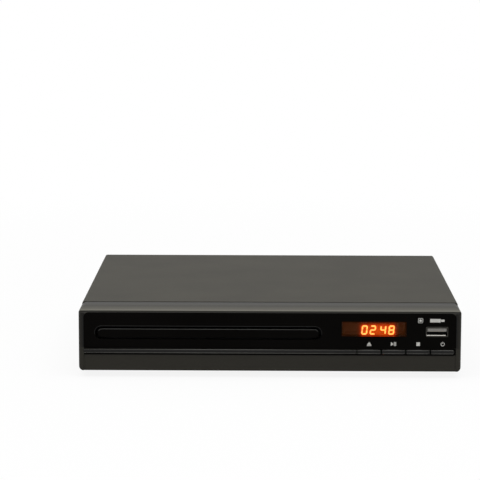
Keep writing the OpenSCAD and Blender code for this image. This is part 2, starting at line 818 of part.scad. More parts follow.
module tray() {
    color([0.12, 0.12, 0.125]) stand() difference() {
        union() {
            from_above(floor_z, tray_top - floor_z)
                round_area(tray_x - tray_w / 2, tray_y, tray_x + tray_w / 2, tray_end, 2);
            for (x = [tray_x - tray_w / 2, tray_x + tray_w / 2 - 2.4])
                block([x, tray_y + 2, tray_z], [x + 2.4, tray_end - 2, floor_z + eps]);
            block([tray_x - tray_w / 2 + 2, tray_y, tray_z],
                [tray_x + tray_w / 2 - 2, tray_y + 2, floor_z + eps]);
            from_above(tray_z, floor_z + eps - tray_z) translate([rack_x, 0])
                rack_outline(drive_y, 2, rack_teeth, rack_mod, 4);
        }
        // wells for both disc sizes, with finger notches at the rim of the larger
        translate([tray_x, spindle_y, well_z]) cylinder(5, r = disc_d / 2 + 0.75, $fn = 128);
        translate([tray_x, spindle_y, well_z - 0.8]) cylinder(5, r = small_disc_d / 2 + 0.5, $fn = 128);
        for (turn = [-45, 45, 135, 225]) translate([tray_x, spindle_y, well_z - 0.8]) rotate(turn)
            translate([disc_d / 2 - 2, 0]) cylinder(5, r = 9);
        // way for the turntable and the pickup, open at the back
        translate([tray_x, spindle_y, tray_z - 1]) cylinder(10, r = spindle_hole_r);
        block([tray_x - spindle_hole_r, spindle_y, tray_z - 1],
            [tray_x + spindle_hole_r, tray_end + 1, tray_top + 1]);
    }
}

module tray_trim() {
    top = trim_z + trim_h;
    bevel = 0.5;
    color([0.05, 0.05, 0.05]) stand() difference() {
        from_front(trim_y, trim_t) pill(tray_x - trim_w / 2, trim_z, tray_x + trim_w / 2, top);
        from_side(tray_x - trim_w, 2 * trim_w)
            polygon([[trim_y - 1, top + 1], [trim_y - 1, top - bevel], [trim_y, top - bevel],
                [trim_y + bevel, top], [trim_y + bevel, top + 1]]);
    }
}

module loading_motor() {
    color(steel) stand() translate([motor_x, drive_y, 0]) difference() {
        union() {
            translate([0, 0, 2.6]) cylinder(frame_z - 2.6, r = 11.5);
            translate([0, 0, frame_z - 2]) cylinder(belt_z + belt_t + 2.5 - frame_z, r = 1);
            translate([0, 0, frame_z - eps]) cylinder(1, r = 3.2);
        }
        translate([0, 0, -1]) cylinder(3.6, r = 3);
    }
}

// A flat belt wheel with a groove for the belt, its groove's middle at z = 0.
module belt_wheel(belt_r) {
    rim_r = belt_r + belt_t / 2 + 0.2;
    groove_r = belt_r - belt_t / 2 - run_gap;
    groove_z = belt_t / 2 + run_gap;
    rim_z = belt_t / 2 + 0.5;
    rotate_extrude() polygon([[0, -rim_z], [rim_r, -rim_z], [rim_r, -groove_z], [groove_r, -groove_z],
        [groove_r, groove_z], [rim_r, groove_z], [rim_r, rim_z], [0, rim_z]]);
}

belt_mid_z = belt_z + belt_t / 2;

module motor_pulley() {
    color(plastic_white) stand() translate([motor_x, drive_y, belt_mid_z]) difference() {
        belt_wheel(motor_belt_r);
        translate([0, 0, -3]) cylinder(6, r = 1 + run_gap);
    }
}

// Points of an arc about [x, 0].
function arc(x, r, from, to, steps) =
    [for (i = [0:steps]) [x, 0] + polar(r, from + (to - from) * i / steps)];

// The loop of a belt line about the motor's wheel at the origin and the pulley to its right.
module belt_loop(offset_r) {
    span = pulley_x - motor_x;
    lean = acos((pulley_belt_r - motor_belt_r) / span);
    polygon(concat(arc(span, pulley_belt_r + offset_r, lean - 180, 180 - lean, 40),
        arc(0, motor_belt_r + offset_r, 180 - lean, 180 + lean, 20)));
}

module loading_belt() {
    color([0.15, 0.15, 0.15]) stand() from_above(belt_z, belt_t) translate([motor_x, drive_y])
        difference() {
            belt_loop(belt_t / 2);
            belt_loop(-belt_t / 2);
        }
}

module pulley_gear() {
    color(plastic_white) stand() translate([pulley_x, drive_y, 0]) difference() {
        union() {
            translate([0, 0, belt_mid_z]) belt_wheel(pulley_belt_r);
            translate([0, 0, gear_plate_z + run_gap]) cylinder(train_z - gear_plate_z, r = 3);
            translate([0, 0, train_z]) linear_extrude(train_t) gear_outline(pinion_teeth, train_mod);
        }
        cylinder(30, r = post_r + run_gap);
    }
}

module drive_gear() {
    color(plastic_white) stand() translate([drive_x, drive_y, 0]) difference() {
        union() {
            translate([0, 0, gear_plate_z + run_gap]) cylinder(rack_gear_z - gear_plate_z, r = 3.4);
            translate([0, 0, train_z]) linear_extrude(train_t)
                gear_outline(wheel_teeth, train_mod, 180 + 180 / wheel_teeth);
            translate([0, 0, rack_gear_z]) linear_extrude(rack_gear_t)
                gear_outline(rack_gear_teeth, rack_mod);
        }
        cylinder(30, r = post_r + run_gap);
    }
}

slide_top = gear_plate_z + 0.1 + 1.2;
slide_bottom = 2.5;

// The slide's web has two sloping slots that carry the deck's front pins.
module cam_slide() {
    web_l = tray_x - pin_offset - cam_travel - 4;
    web_r = tray_x + pin_offset + 4;
    low_z = pivot_z - cam_lift;
    slot_r = pin_r + 0.12;
    color([0.75, 0.74, 0.70]) stand() {
        from_front(pin_y - 1.2, 2.4) difference() {
            area(web_l, slide_bottom, web_r, pivot_z + 3);
            for (x = [tray_x - pin_offset, tray_x + pin_offset]) {
                lean = atan(cam_lift / cam_travel);
                translate([x, low_z]) rotate(180 - lean)
                    pill(-slot_r - 0.5, -slot_r, norm([cam_travel, cam_lift]) + slot_r + 0.5, slot_r);
            }
        }
        block([web_l, pin_y - 5, gear_plate_z + 0.1], [web_r, pin_y - 1.2 + eps, slide_top]);
    }
}

// ---------- deck ----------

// Tilts what is drawn level down about the pivot, to where it rests with the tray free to move.
module lowered() {
    translate([0, pivot_y, pivot_z]) rotate([deck_tilt, 0, 0]) translate([0, -pivot_y, -pivot_z]) children();
}

bush_places = [[tray_x - bush_x, bush_front_y], [tray_x + bush_x, bush_front_y],
    [tray_x - bush_x, bush_rear_y]];

module deck_frame() {
    color([0.2, 0.2, 0.21]) stand() lowered() {
        difference() {
            union() {
                from_above(deck_z, deck_top - deck_z) difference() {
                    round_area(deck_l, deck_y, deck_r, deck_end, 3);
                    round_area(deck_l + deck_wall, deck_y + deck_wall,
                        deck_r - deck_wall, deck_end - deck_wall, 3);
                }
                // shelves that carry the bushes
                for (p = bush_places) from_above(deck_z, 1.4) {
                    wall_x = p[0] < tray_x ? deck_l + 1 : deck_r - 1;
                    translate([p[0], p[1]]) circle(6);
                    area(min(p[0], wall_x), p[1] - 6, max(p[0], wall_x), p[1] + 6);
                }
            }
            for (p = bush_places) translate([p[0], p[1], 0]) cylinder(20, r = screw_r);
        }
        for (side = [-1, 1]) {
            x = tray_x + side * (deck_w / 2 - eps);
            rod_along_x(min(x, x + side * 4.4), pivot_y, pivot_z, 4.4, trunnion_r);
            rod_along_y(tray_x + side * pin_offset, pin_y - 0.8, pivot_z, deck_y - pin_y + 0.9, pin_r);
        }
    }
}

// Rubber bushes, each with a waist that grips the mechanism plate.
module deck_bushes() {
    color([0.12, 0.12, 0.12]) stand() lowered() for (p = bush_places) translate([p[0], p[1], 0])
        difference() {
            union() {
                translate([0, 0, deck_z + 1.4]) cylinder(plate_z - deck_z - 1.4, r = 4.2);
                translate([0, 0, plate_z - eps]) cylinder(plate_t + 2 * eps, r = 3);
                translate([0, 0, plate_z + plate_t]) cylinder(1.4, r = 4.2);
            }
            translate([0, 0, deck_z]) cylinder(10, r = screw_r + 0.1);
        }
}

module deck_screws() {
    color(steel) stand() lowered() for (p = bush_places)
        translate([p[0], p[1], plate_z + plate_t + 1.4]) screw_down(6);
}

module mechanism_plate() {
    x1 = deck_l + deck_wall + 2;
    x2 = deck_r - deck_wall - 2;
    color(steel) stand() lowered() {
        difference() {
            union() {
                from_above(plate_z, plate_t)
                    round_area(x1, deck_y + deck_wall + 2, x2, deck_end - deck_wall - 2, 2);
                // folded ears that hold the guide rods and the lead screw
                for (x = [tray_x - rod_x, tray_x + rod_x], y = [rod_front_y, rod_rear_y])
                    block([x - 3.3, y, rod_z - 2.6], [x + 3.3, y + plate_t, plate_z + eps]);
                block([tray_x + screw_line_x - 3, rod_front_y, screw_line_z - 3],
                    [tray_x + screw_line_x + 3, rod_front_y + plate_t, plate_z + eps]);
            }
            // window for the pickup, hub of the turntable, notch for the sled motor
            from_above(plate_z - 1, 4)
                round_area(tray_x - rod_x + 3.5, sled_y + 1, tray_x + rod_x - 3.5, rod_rear_y - 3, 2);
            translate([tray_x, spindle_y, plate_z - 1]) cylinder(4, r = 4);
            block([tray_x + screw_line_x - 5.6, sled_motor_y - 2, plate_z - 1],
                [x2 + 1, deck_end, plate_z + 3]);
            for (p = bush_places) translate([p[0], p[1], plate_z - 1]) cylinder(4, r = 3 + run_gap);
            for (x = [tray_x - rod_x, tray_x + rod_x])
                rod_along_y(x, rod_front_y - 1, rod_z, rod_rear_y - rod_front_y + 5, rod_r + 0.02);
            rod_along_y(tray_x + screw_line_x, rod_front_y - 1, screw_line_z, 5, lead_r + run_gap);
        }
    }
}

module spindle_motor() {
    color([0.6, 0.6, 0.62]) stand() lowered() translate([tray_x, spindle_y, 0]) {
        translate([0, 0, 7.2]) cylinder(plate_z - 7.2, r = 12.5);
        translate([0, 0, 7.3]) cylinder(disc_level - 7.3, r = 1);
        translate([0, 0, plate_z - eps]) cylinder(plate_t + 0.4, r = 3.6);
    }
}

disc_level = well_z + 1.2;          // underside of the disc once the deck has lifted it
hub_z = plate_z + plate_t + 0.8;    // underside of the turntable's hub

module turntable() {
    color([0.12, 0.12, 0.13]) stand() lowered() translate([tray_x, spindle_y, 0]) difference() {
        rotate_extrude() polygon([[0, hub_z], [5, hub_z], [5, disc_level - 2.4],
            [turntable_r - 0.5, disc_level - 2.4], [turntable_r, disc_level - 1.9],
            [turntable_r, disc_level], [turntable_r - 3, disc_level],
            [turntable_r - 3, disc_level - 0.3], [7.5, disc_level - 0.3], [7.4, disc_level + 0.8],
            [6, disc_level + 2], [0, disc_level + 2]]);
        translate([0, 0, 10]) cylinder(disc_level - 10 + run_gap, r = 1 + run_gap);
    }
}

module guide_rods() {
    color([0.8, 0.81, 0.82]) stand() lowered() for (x = [tray_x - rod_x, tray_x + rod_x])
        rod_along_y(x, rod_front_y - 0.4, rod_z, rod_rear_y - rod_front_y + plate_t + 0.8, rod_r);
}

module pickup_sled() {
    z1 = 6.9;
    z2 = plate_z - part_gap;
    color([0.3, 0.3, 0.31]) stand() lowered() difference() {
        union() {
            from_above(z1, z2 - z1)
                round_area(tray_x - rod_x - 6, sled_y, tray_x + rod_x + 4.4, sled_y + sled_len, 2);
            // optical block that reaches up through the plate
            from_above(z2 - eps, 17.6 - z2)
                round_area(tray_x - rod_x + 5, sled_y + 2, tray_x + rod_x - 5, sled_y + sled_len - 2, 1.5);
            translate([tray_x, lens_y, 17]) cylinder(disc_level - 3.2 - 17, r = 5.5);
            // arm with the nut on the lead screw
            block([tray_x + rod_x + 2, sled_y + 2, z1], [tray_x + screw_line_x + 3.2, sled_y + 8, z2]);
        }
        for (x = [tray_x - rod_x, tray_x + rod_x])
            rod_along_y(x, sled_y - 1, rod_z, sled_len + 2, rod_r + run_gap);
        rod_along_y(tray_x + screw_line_x, sled_y - 1, screw_line_z, sled_len, lead_r + run_gap);
        translate([tray_x, lens_y, disc_level - 4.2]) cylinder(5, r = 2.3);
        // hollow underside with the optics
        block([tray_x - rod_x + 6, sled_y + 3, z1 - 1],
            [tray_x + rod_x - 6, sled_y + sled_len - 3, z1 + 3]);
    }
}

module objective_lens() {
    color([0.55, 0.65, 0.85, 0.6]) stand() lowered() translate([tray_x, lens_y, disc_level - 4.2]) {
        cylinder(0.9, r = 2.25);
        translate([0, 0, 0.8]) intersection() {
            translate([0, 0, -2.6]) sphere(3.4);
            cylinder(1, r = 2.2);
        }
    }
}

module sled_motor() {
    color(steel) stand() lowered() {
        rod_along_y(tray_x + screw_line_x, sled_motor_y, screw_line_z, sled_motor_len, 5);
        rod_along_y(tray_x + screw_line_x, sled_motor_y - 1, screw_line_z, 1 + eps, 2);
    }
}

module lead_screw() {
    length = sled_motor_y - 1 - rod_front_y + 0.4;
    color([0.8, 0.8, 0.78]) stand() lowered()
        rod_along_y(tray_x + screw_line_x, rod_front_y - 0.5, screw_line_z, length, lead_r);
}

// ---------- clamp ----------

module clamp_bridge() {
    back = bridge_y + bridge_d;
    top = bridge_z + bridge_t;
    rib_inset = 4;
    color(steel) stand() difference() {
        union() {
            block([frame_l + frame_wall, bridge_y, bridge_z], [frame_r - frame_wall, back, top]);
            for (side = [-1, 1]) {
                wall = side < 0 ? frame_l : frame_r;
                turn = wall - side * frame_wall;
                riser = turn - side * bridge_t;
                block([min(turn, riser), bridge_y, guide_top], [max(turn, riser), back, top]);
                block([min(wall, riser), bridge_y, guide_top],
                    [max(wall, riser), back, guide_top + bridge_t]);
                // pressed ribs that stiffen the bridge
                rib_in = tray_x + side * 18;
                rib_out = turn - side * 6;
                for (y = [bridge_y + rib_inset, back - rib_inset - 2])
                    block([min(rib_in, rib_out), y, bridge_z - 0.8],
                        [max(rib_in, rib_out), y + 2, bridge_z + eps]);
            }
        }
        translate([tray_x, spindle_y, bridge_z - 2]) cylinder(5, r = clamp_neck_r + 1);
        for (p = bridge_screws) translate([p[0], p[1], guide_top - 1]) cylinder(4, r = screw_r + 0.15);
    }
}

module clamper() {
    flange_r = clamp_neck_r + 3.5;
    flange_z = bridge_z + bridge_t + 0.2;
    hollow_r = 8.2;
    color([0.85, 0.85, 0.83]) stand() translate([tray_x, spindle_y, 0]) rotate_extrude()
        polygon([[hollow_r, clamp_bottom], [clamp_r, clamp_bottom], [clamp_r, clamp_bottom + 2],
            [clamp_neck_r, clamp_bottom + 2], [clamp_neck_r, flange_z], [flange_r, flange_z],
            [flange_r, flange_z + 1], [0, flange_z + 1], [0, clamp_bottom + 4],
            [hollow_r, clamp_bottom + 4]]);
}

// ---------- boards and connectors ----------

module main_board() {
    color(board_green) stand() difference() {
        block([main_l, main_y, board_z], [main_r, board_back, board_top]);
        for (p = main_posts) translate([p[0], p[1], board_z - 1]) cylinder(4, r = screw_r + 0.15);
        // way for the sled motor, where the board reaches that far forward
        block([tray_x + screw_line_x - 6, 0, board_z - 1],
            [tray_x + screw_line_x + 6, sled_motor_y + sled_motor_len + 1.5, board_top + 1]);
    }
}

module chip(x, y, w, d, h) {
    block([x - w / 2, y - d / 2, board_top], [x + w / 2, y + d / 2, board_top + h]);
}

module can(x, y, r, h) {
    translate([x, y, board_top]) cylinder(h, r = r);
}

module main_chips() {
    color([0.12, 0.12, 0.12]) stand() {
        chip(chip_x, chip_y, chip_w, chip_w, chip_t);
        chip(chip_x - 22, chip_y, 11, 16, 1.2);
        chip(chip_x - 44, chip_y, 8, 12, 1.6);
        chip(chip_x - 36, chip_y, 5, 6, 1.2);
        chip(cable_x + cable_w / 2, main_y + 3, cable_w + 4, 4, 2.6);
        for (i = [0:2]) can(scart_x + 30 + 7 * i, board_back - 12.6, 2.5, 6.5);
    }
}

chip_t = 1.4;
fin_count = 6;
fin_t = 1;

module heatsink() {
    z = board_top + chip_t;
    left = chip_x - chip_w / 2;
    front = chip_y - chip_w / 2;
    pitch = (chip_w - fin_t) / (fin_count - 1);
    color([0.75, 0.76, 0.78]) stand() {
        block([left, front, z], [left + chip_w, front + chip_w, z + 1.6]);
        for (i = [0:fin_count - 1])
            block([left + i * pitch, front, z + 1.5], [left + i * pitch + fin_t, front + chip_w, z + 7]);
    }
}

module board_screws() {
    color(steel) stand() for (p = concat(main_posts, power_posts))
        translate([p[0], p[1], board_top]) screw_down(4);
}

module power_board() {
    color([0.62, 0.50, 0.28]) stand() difference() {
        block([power_l, power_y, board_z], [power_r, board_back, board_top]);
        for (p = power_posts) translate([p[0], p[1], board_z - 1]) cylinder(4, r = screw_r + 0.15);
    }
}

module transformer() {
    x = power_l + 17;
    y = power_y + 27;
    color([0.85, 0.75, 0.3]) stand() {
        block([x - 9, y - 10, board_top], [x + 9, y + 10, board_top + 3]);
        block([x - 7, y - 6, board_top + 2.9], [x + 7, y + 6, board_top + 15]);
        block([x - 9, y - 10, board_top + 14.9], [x + 9, y + 10, board_top + 18]);
        for (side = [-1, 1]) translate([0, side * 9, 0])
            block([x - 8, y - 2, board_top + 2.9], [x + 8, y + 0.8 + side * 0.1, board_top + 15]);
    }
}

module power_parts() {
    color([0.13, 0.15, 0.22]) stand() {
        can(power_l + 36, power_y + 16, 8, 20);
        can(power_l + 12, power_y + 6, 4, 12);
        can(power_l + 22, power_y + 6, 4, 12);
        can(power_l + 36, power_y + 34, 5, 14);
        chip(power_l + 36, power_y + 46, 9, 12, 13);
        chip(power_l + 15, power_y + 46, 20, 3, 16);
    }
}

module mains_inlet() {
    front = rear_in - 14;
    color(plastic_black) stand() {
        difference() {
            union() {
                from_front(front, body_d + 1 - front)
                    round_area(inlet_x - 11, inlet_z - 6, inlet_x + 11, inlet_z + 6, 1);
                block([inlet_x - 11, front, board_top], [inlet_x + 11, rear_in - 1.2, inlet_z]);
            }
            from_front(rear_in - 9, 13)
                round_area(inlet_x - 7.2, inlet_z - 3.8, inlet_x + 7.2, inlet_z + 3.8, 3.7);
        }
    }
}

module inlet_pins() {
    color([0.8, 0.8, 0.78]) stand() for (side = [-1, 1]) {
        rod_along_y(inlet_x + side * 3.3, rear_in - 9, inlet_z, 7.4, 1.2);
        translate([inlet_x + side * 3.3, rear_in - 1.6, inlet_z]) sphere(1.2);
    }
}

hdmi_y = body_d + 0.3;      // mouth of the socket

module hdmi_socket() {
    color([0.78, 0.78, 0.76]) stand() difference() {
        block([hdmi_x - 7.5, hdmi_y - 12, board_top], [hdmi_x + 7.5, hdmi_y, board_top + 5.8]);
        from_front(hdmi_y - 10, 11) translate([hdmi_x, board_top + 3])
            polygon([[-7, 2.3], [7, 2.3], [7, -0.6], [5.2, -2.3], [-5.2, -2.3], [-7, -0.6]]);
    }
}

module hdmi_tongue() {
    color([0.07, 0.07, 0.07]) stand()
        block([hdmi_x - 5.5, hdmi_y - 10, board_top + 2.6], [hdmi_x + 5.5, hdmi_y - 2, board_top + 3.6]);
}

module scart_socket() {
    back = body_d + 0.6;
    color([0.09, 0.09, 0.09]) stand() {
        difference() {
            block([scart_x - 23.5, back - 14, board_top], [scart_x + 23.5, back, scart_z + 7.1]);
            from_front(back - 11, 12) translate([scart_x, scart_z]) polygon([[-21.5, 5.4], [21.5, 5.4],
                [21.5, -1], [17.5, -5.4], [-21.5, -5.4]]);
        }
        block([scart_x - 18.5, back - 11.1, scart_z - 2.4], [scart_x + 17, back - 2, scart_z + 2.6]);
    }
}

// Repeats a jack's piece at each jack.
module each_jack() {
    for (i = [0:jack_count - 1]) translate([jack_x + i * jack_pitch, 0, jack_z]) children();
}

module jack_block() {
    x1 = jack_x - jack_pitch / 2;
    x2 = x1 + jack_count * jack_pitch;
    color(plastic_black) stand() difference() {
        union() {
            block([x1, rear_in - 10, board_top], [x2, rear_in - fit_gap, jack_z + 6]);
            each_jack() rod_along_y(0, rear_in - 1, 0, body_d - rear_in + 0.6, jack_boss_r);
        }
        each_jack() rod_along_y(0, jack_tail_y, 0, body_d, jack_neck_r + jack_fit);
    }
}

// Shell of each jack: a cup behind the cover and a thinner tail held in the block.
module jack_barrels() {
    color([0.8, 0.8, 0.8]) stand() each_jack() difference() {
        union() {
            rod_along_y(0, jack_tail_y, 0, body_d - jack_tail_y + eps, jack_neck_r);
            rod_along_y(0, body_d, 0, jack_out, jack_r);
        }
        rod_along_y(0, jack_tail_y + 1, 0, body_d, jack_neck_r - jack_wall);
        rod_along_y(0, jack_seat_y, 0, jack_out, jack_r - jack_wall);
    }
}

module jack_inserts() {
    tail_r = jack_neck_r - jack_wall - jack_fit;
    head_r = jack_r - jack_wall - jack_fit;
    color([0.9, 0.85, 0.2]) stand() each_jack() difference() {
        union() {
            rod_along_y(0, jack_tail_y + 1, 0, jack_seat_y - jack_tail_y, tail_r);
            rod_along_y(0, jack_seat_y, 0, jack_out - 1.1, head_r);
        }
        rod_along_y(0, rear_in, 0, body_d, jack_pin_r);
    }
}

// Flat cable along the floor, from the main board to the front board.
module front_cable() {
    low = bezel_t + 0.6;
    front = front_board_y + board_t + fit_gap;
    bend = front + 3;
    back = main_y - 3;
    high = board_top + 1.6;
    color([0.85, 0.86, 0.88]) stand() from_side(cable_x, cable_w) {
        area(front, cable_z, bend, cable_z + cable_t);
        area(bend - cable_t, low, bend, cable_z + cable_t);
        area(bend - cable_t, low, back, low + cable_t);
        area(back - cable_t, low, back, high);
        area(back - cable_t, high - cable_t, main_y, high);
    }
}

chassis_base();
rear_panel();
top_cover();
cover_screws();
feet();
front_bezel();
fascia();
display_window();
trim_strip();
button_open();
button_play();
button_stop();
button_standby();
usb_socket();
usb_tongue();
front_board();
tact_switches();
display_module();
ir_receiver();
front_screws();
loader_frame();
loader_screws();
tray();
tray_trim();
loading_motor();
motor_pulley();
loading_belt();
pulley_gear();
drive_gear();
cam_slide();
deck_frame();
deck_bushes();
deck_screws();
mechanism_plate();
spindle_motor();
turntable();
guide_rods();
pickup_sled();
objective_lens();
sled_motor();
lead_screw();
clamp_bridge();
clamper();
main_board();
main_chips();
heatsink();
board_screws();
power_board();
transformer();
power_parts();
mains_inlet();
inlet_pins();
hdmi_socket();
hdmi_tongue();
scart_socket();
jack_block();
jack_barrels();
jack_inserts();
front_cable();
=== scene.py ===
import math

import bpy
from mathutils import Matrix, Vector


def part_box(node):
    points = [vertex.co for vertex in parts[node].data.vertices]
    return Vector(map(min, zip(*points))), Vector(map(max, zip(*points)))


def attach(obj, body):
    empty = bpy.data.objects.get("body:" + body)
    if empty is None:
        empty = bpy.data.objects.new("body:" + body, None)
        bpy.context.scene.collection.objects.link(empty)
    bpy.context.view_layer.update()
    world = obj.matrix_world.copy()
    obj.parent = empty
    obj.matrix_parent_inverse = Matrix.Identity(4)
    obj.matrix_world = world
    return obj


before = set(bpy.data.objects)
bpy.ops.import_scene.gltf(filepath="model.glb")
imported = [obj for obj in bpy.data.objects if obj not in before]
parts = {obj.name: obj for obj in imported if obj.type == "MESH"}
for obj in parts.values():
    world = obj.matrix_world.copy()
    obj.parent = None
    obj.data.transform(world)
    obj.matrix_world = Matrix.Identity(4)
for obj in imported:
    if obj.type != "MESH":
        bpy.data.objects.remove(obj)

mm = 0.001
quarterTurn = math.pi / 2
eighthTurn = math.pi / 4
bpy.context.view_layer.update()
scene = bpy.context.scene
print("frame loaded:", len(parts), "nodes")

camera = {
    "place": (-0.0030, -1.27885, 0.2582),   # where the lens stands, in metres
    "yaw": -0.71,                           # degrees, as are the next two
    "down": 8.53,
    "roll": 0.101,
    "lens": 152.77,                         # focal length on a sensor of this width
    "sensor": 36,
    "near": 0.05,
    "far": 20,
}


def makeCamera():
    yaw, down, roll = (math.radians(camera[key]) for key in ("yaw", "down", "roll"))
    level = math.cos(down)
    ahead = Vector((math.sin(yaw) * level, math.cos(yaw) * level, -math.sin(down)))
    right = Vector((math.cos(yaw), -math.sin(yaw), 0))
    up = right.cross(ahead)
    leanRight = math.cos(roll) * right + math.sin(roll) * up
    leanUp = -math.sin(roll) * right + math.cos(roll) * up
    lens = bpy.data.cameras.new("camera")
    lens.lens = camera["lens"]
    lens.sensor_width = camera["sensor"]
    lens.clip_start = camera["near"]
    lens.clip_end = camera["far"]
    eye = bpy.data.objects.new("camera", lens)
    scene.collection.objects.link(eye)
    turn = Matrix((leanRight, leanUp, -ahead)).transposed().to_4x4()
    eye.matrix_world = Matrix.Translation(camera["place"]) @ turn
    scene.camera = eye
    print("camera set")


def linear(hexColour):
    # "#rrggbb" as it should look, to the linear values that a shader wants
    shares = [int(hexColour[i:i + 2], 16) / 255 for i in (1, 3, 5)]
    levels = [s / 12.92 if s <= 0.04045 else ((s + 0.055) / 1.055) ** 2.4 for s in shares]
    return (*levels, 1.0)


def addNode(tree, kind, settings=None, values=None, links=None):
    # one node with its settings, its socket values and what feeds its sockets
    node = tree.nodes.new(kind)
    for key, value in (settings or {}).items():
        setattr(node, key, value)
    for key, value in (values or {}).items():
        node.inputs[key].default_value = value
    for key, source in (links or {}).items():
        tree.links.new(source, node.inputs[key])
    return node


def newMaterial(name):
    material = bpy.data.materials.new(name)
    material.use_nodes = True
    tree = material.node_tree
    tree.nodes.clear()
    place = addNode(tree, "ShaderNodeTexCoord").outputs["Object"]
    return material, tree, place


def surface(tree, values, links):
    shader = addNode(tree, "ShaderNodeBsdfPrincipled", values=values, links=links)
    addNode(tree, "ShaderNodeOutputMaterial", links={"Surface": shader.outputs["BSDF"]})


def perSize(sizeInMm):
    # texture scale of a pattern whose features are this many millimetres across
    return 1.0 / (sizeInMm * mm)


def shades(tree, factor, stops, smooth="LINEAR"):
    # a colour ramp through (position, hex colour) stops
    ramp = addNode(tree, "ShaderNodeValToRGB", links={"Fac": factor})
    ramp.color_ramp.interpolation = smooth
    points = ramp.color_ramp.elements
    while len(points) < len(stops):
        points.new(0.5)
    for point, (position, hexColour) in zip(points, stops):
        point.position = position
        point.color = linear(hexColour)
    return ramp.outputs["Color"]


def spread(tree, factor, low, high, fromLow=0.3, fromHigh=0.7):
    # from low to high while a factor goes through its own range, and no further
    return addNode(tree, "ShaderNodeMapRange", values={
        "From Min": fromLow, "From Max": fromHigh, "To Min": low, "To Max": high},
        links={"Value": factor}).outputs["Result"]


def grain(tree, place, sizeInMm, detail=2.0, rough=0.5):
    return addNode(tree, "ShaderNodeTexNoise", values={
        "Scale": perSize(sizeInMm), "Detail": detail, "Roughness": rough},
        links={"Vector": place}).outputs["Fac"]


def dent(tree, height, strength, depthInMm):
    return addNode(tree, "ShaderNodeBump", values={"Strength": strength, "Distance": depthInMm * mm},
                   links={"Height": height}).outputs["Normal"]


def stretched(tree, place, scale):
    # stretches a pattern along an axis, so that it turns into lines
    mapping = addNode(tree, "ShaderNodeMapping", values={"Scale": scale}, links={"Vector": place})
    return mapping.outputs["Vector"]


def axes(tree, place):
    return addNode(tree, "ShaderNodeSeparateXYZ", links={"Vector": place}).outputs


def combined(tree, operation, *sources, values=None):
    # the result of one math node that these sources feed
    node = addNode(tree, "ShaderNodeMath", {"operation": operation}, values, dict(enumerate(sources)))
    return node.outputs["Value"]


def mixed(tree, share, hexColour, other):
    # from a plain colour to another source as the share grows
    node = addNode(tree, "ShaderNodeMix", {"data_type": "RGBA"}, {6: linear(hexColour)},
                   {0: share, 7: other})
    return node.outputs[2]


def hump(tree, place, axis, centre, reach, fade):
    # 1 near a centre on one axis, one half at the reach, 0 a fade distance beyond it, in metres
    apart = combined(tree, "SUBTRACT", axes(tree, place)[axis], values={1: centre})
    return addNode(tree, "ShaderNodeMapRange", {"interpolation_type": "SMOOTHSTEP"}, {
        "From Min": reach - fade, "From Max": reach + fade, "To Min": 1.0, "To Max": 0.0},
        {"Value": combined(tree, "ABSOLUTE", apart)}).outputs["Result"]


def powderCoat():
    # steel sheet under a dark grey matt coat: an even fine grain with a slightly cloudy sheen
    material, tree, place = newMaterial("powder_coated_steel")
    fine = grain(tree, place, 0.5, 3)
    clouds = grain(tree, place, 38)
    surface(tree, {"IOR": 1.5, "Specular IOR Level": 0.08}, {
        "Base Color": shades(tree, clouds, [(0.3, "#3c3a34"), (0.7, "#413f38")]),
        "Roughness": spread(tree, fine, 0.58, 0.66),
        "Normal": dent(tree, fine, 0.25, 0.05)})
    return material


def sparkedAbs(name, dark, light, low, high):
    # ABS moulded against a spark-eroded tool: matt, with a fine pebbled grain
    material, tree, place = newMaterial(name)
    pebbles = grain(tree, place, 0.45, 3, 0.6)
    clouds = grain(tree, place, 22)
    surface(tree, {"IOR": 1.53, "Specular IOR Level": 0.25}, {
        "Base Color": shades(tree, clouds, [(0.3, dark), (0.7, light)]),
        "Roughness": spread(tree, pebbles, low, high),
        "Normal": dent(tree, pebbles, 0.3, 0.04)})
    return material


bezel = {
    "rim": "#060504",                       # beside the fascia
    "front": "#24221c",
    # the crown's colours are painted light: dark at the front edge, a painted highlight just behind it,
    # darker towards the back
    "crownPaintedLight": [(0.03, "#100f0b"), (0.06, "#6c6a61"), (0.13, "#55534b"), (0.33, "#2f2d27"),
              (0.56, "#201e19"), (0.78, "#191813")],
    # the fades run to the right or upwards, counted from an edge of the fascia
    "sideFade": (-0.4 * mm, -0.2 * mm),
    "underFade": (-0.3 * mm, 0.0),
    "overFade": (-0.5 * mm, 0.5 * mm),
    "crownFade": (0.0, 0.4 * mm),
}


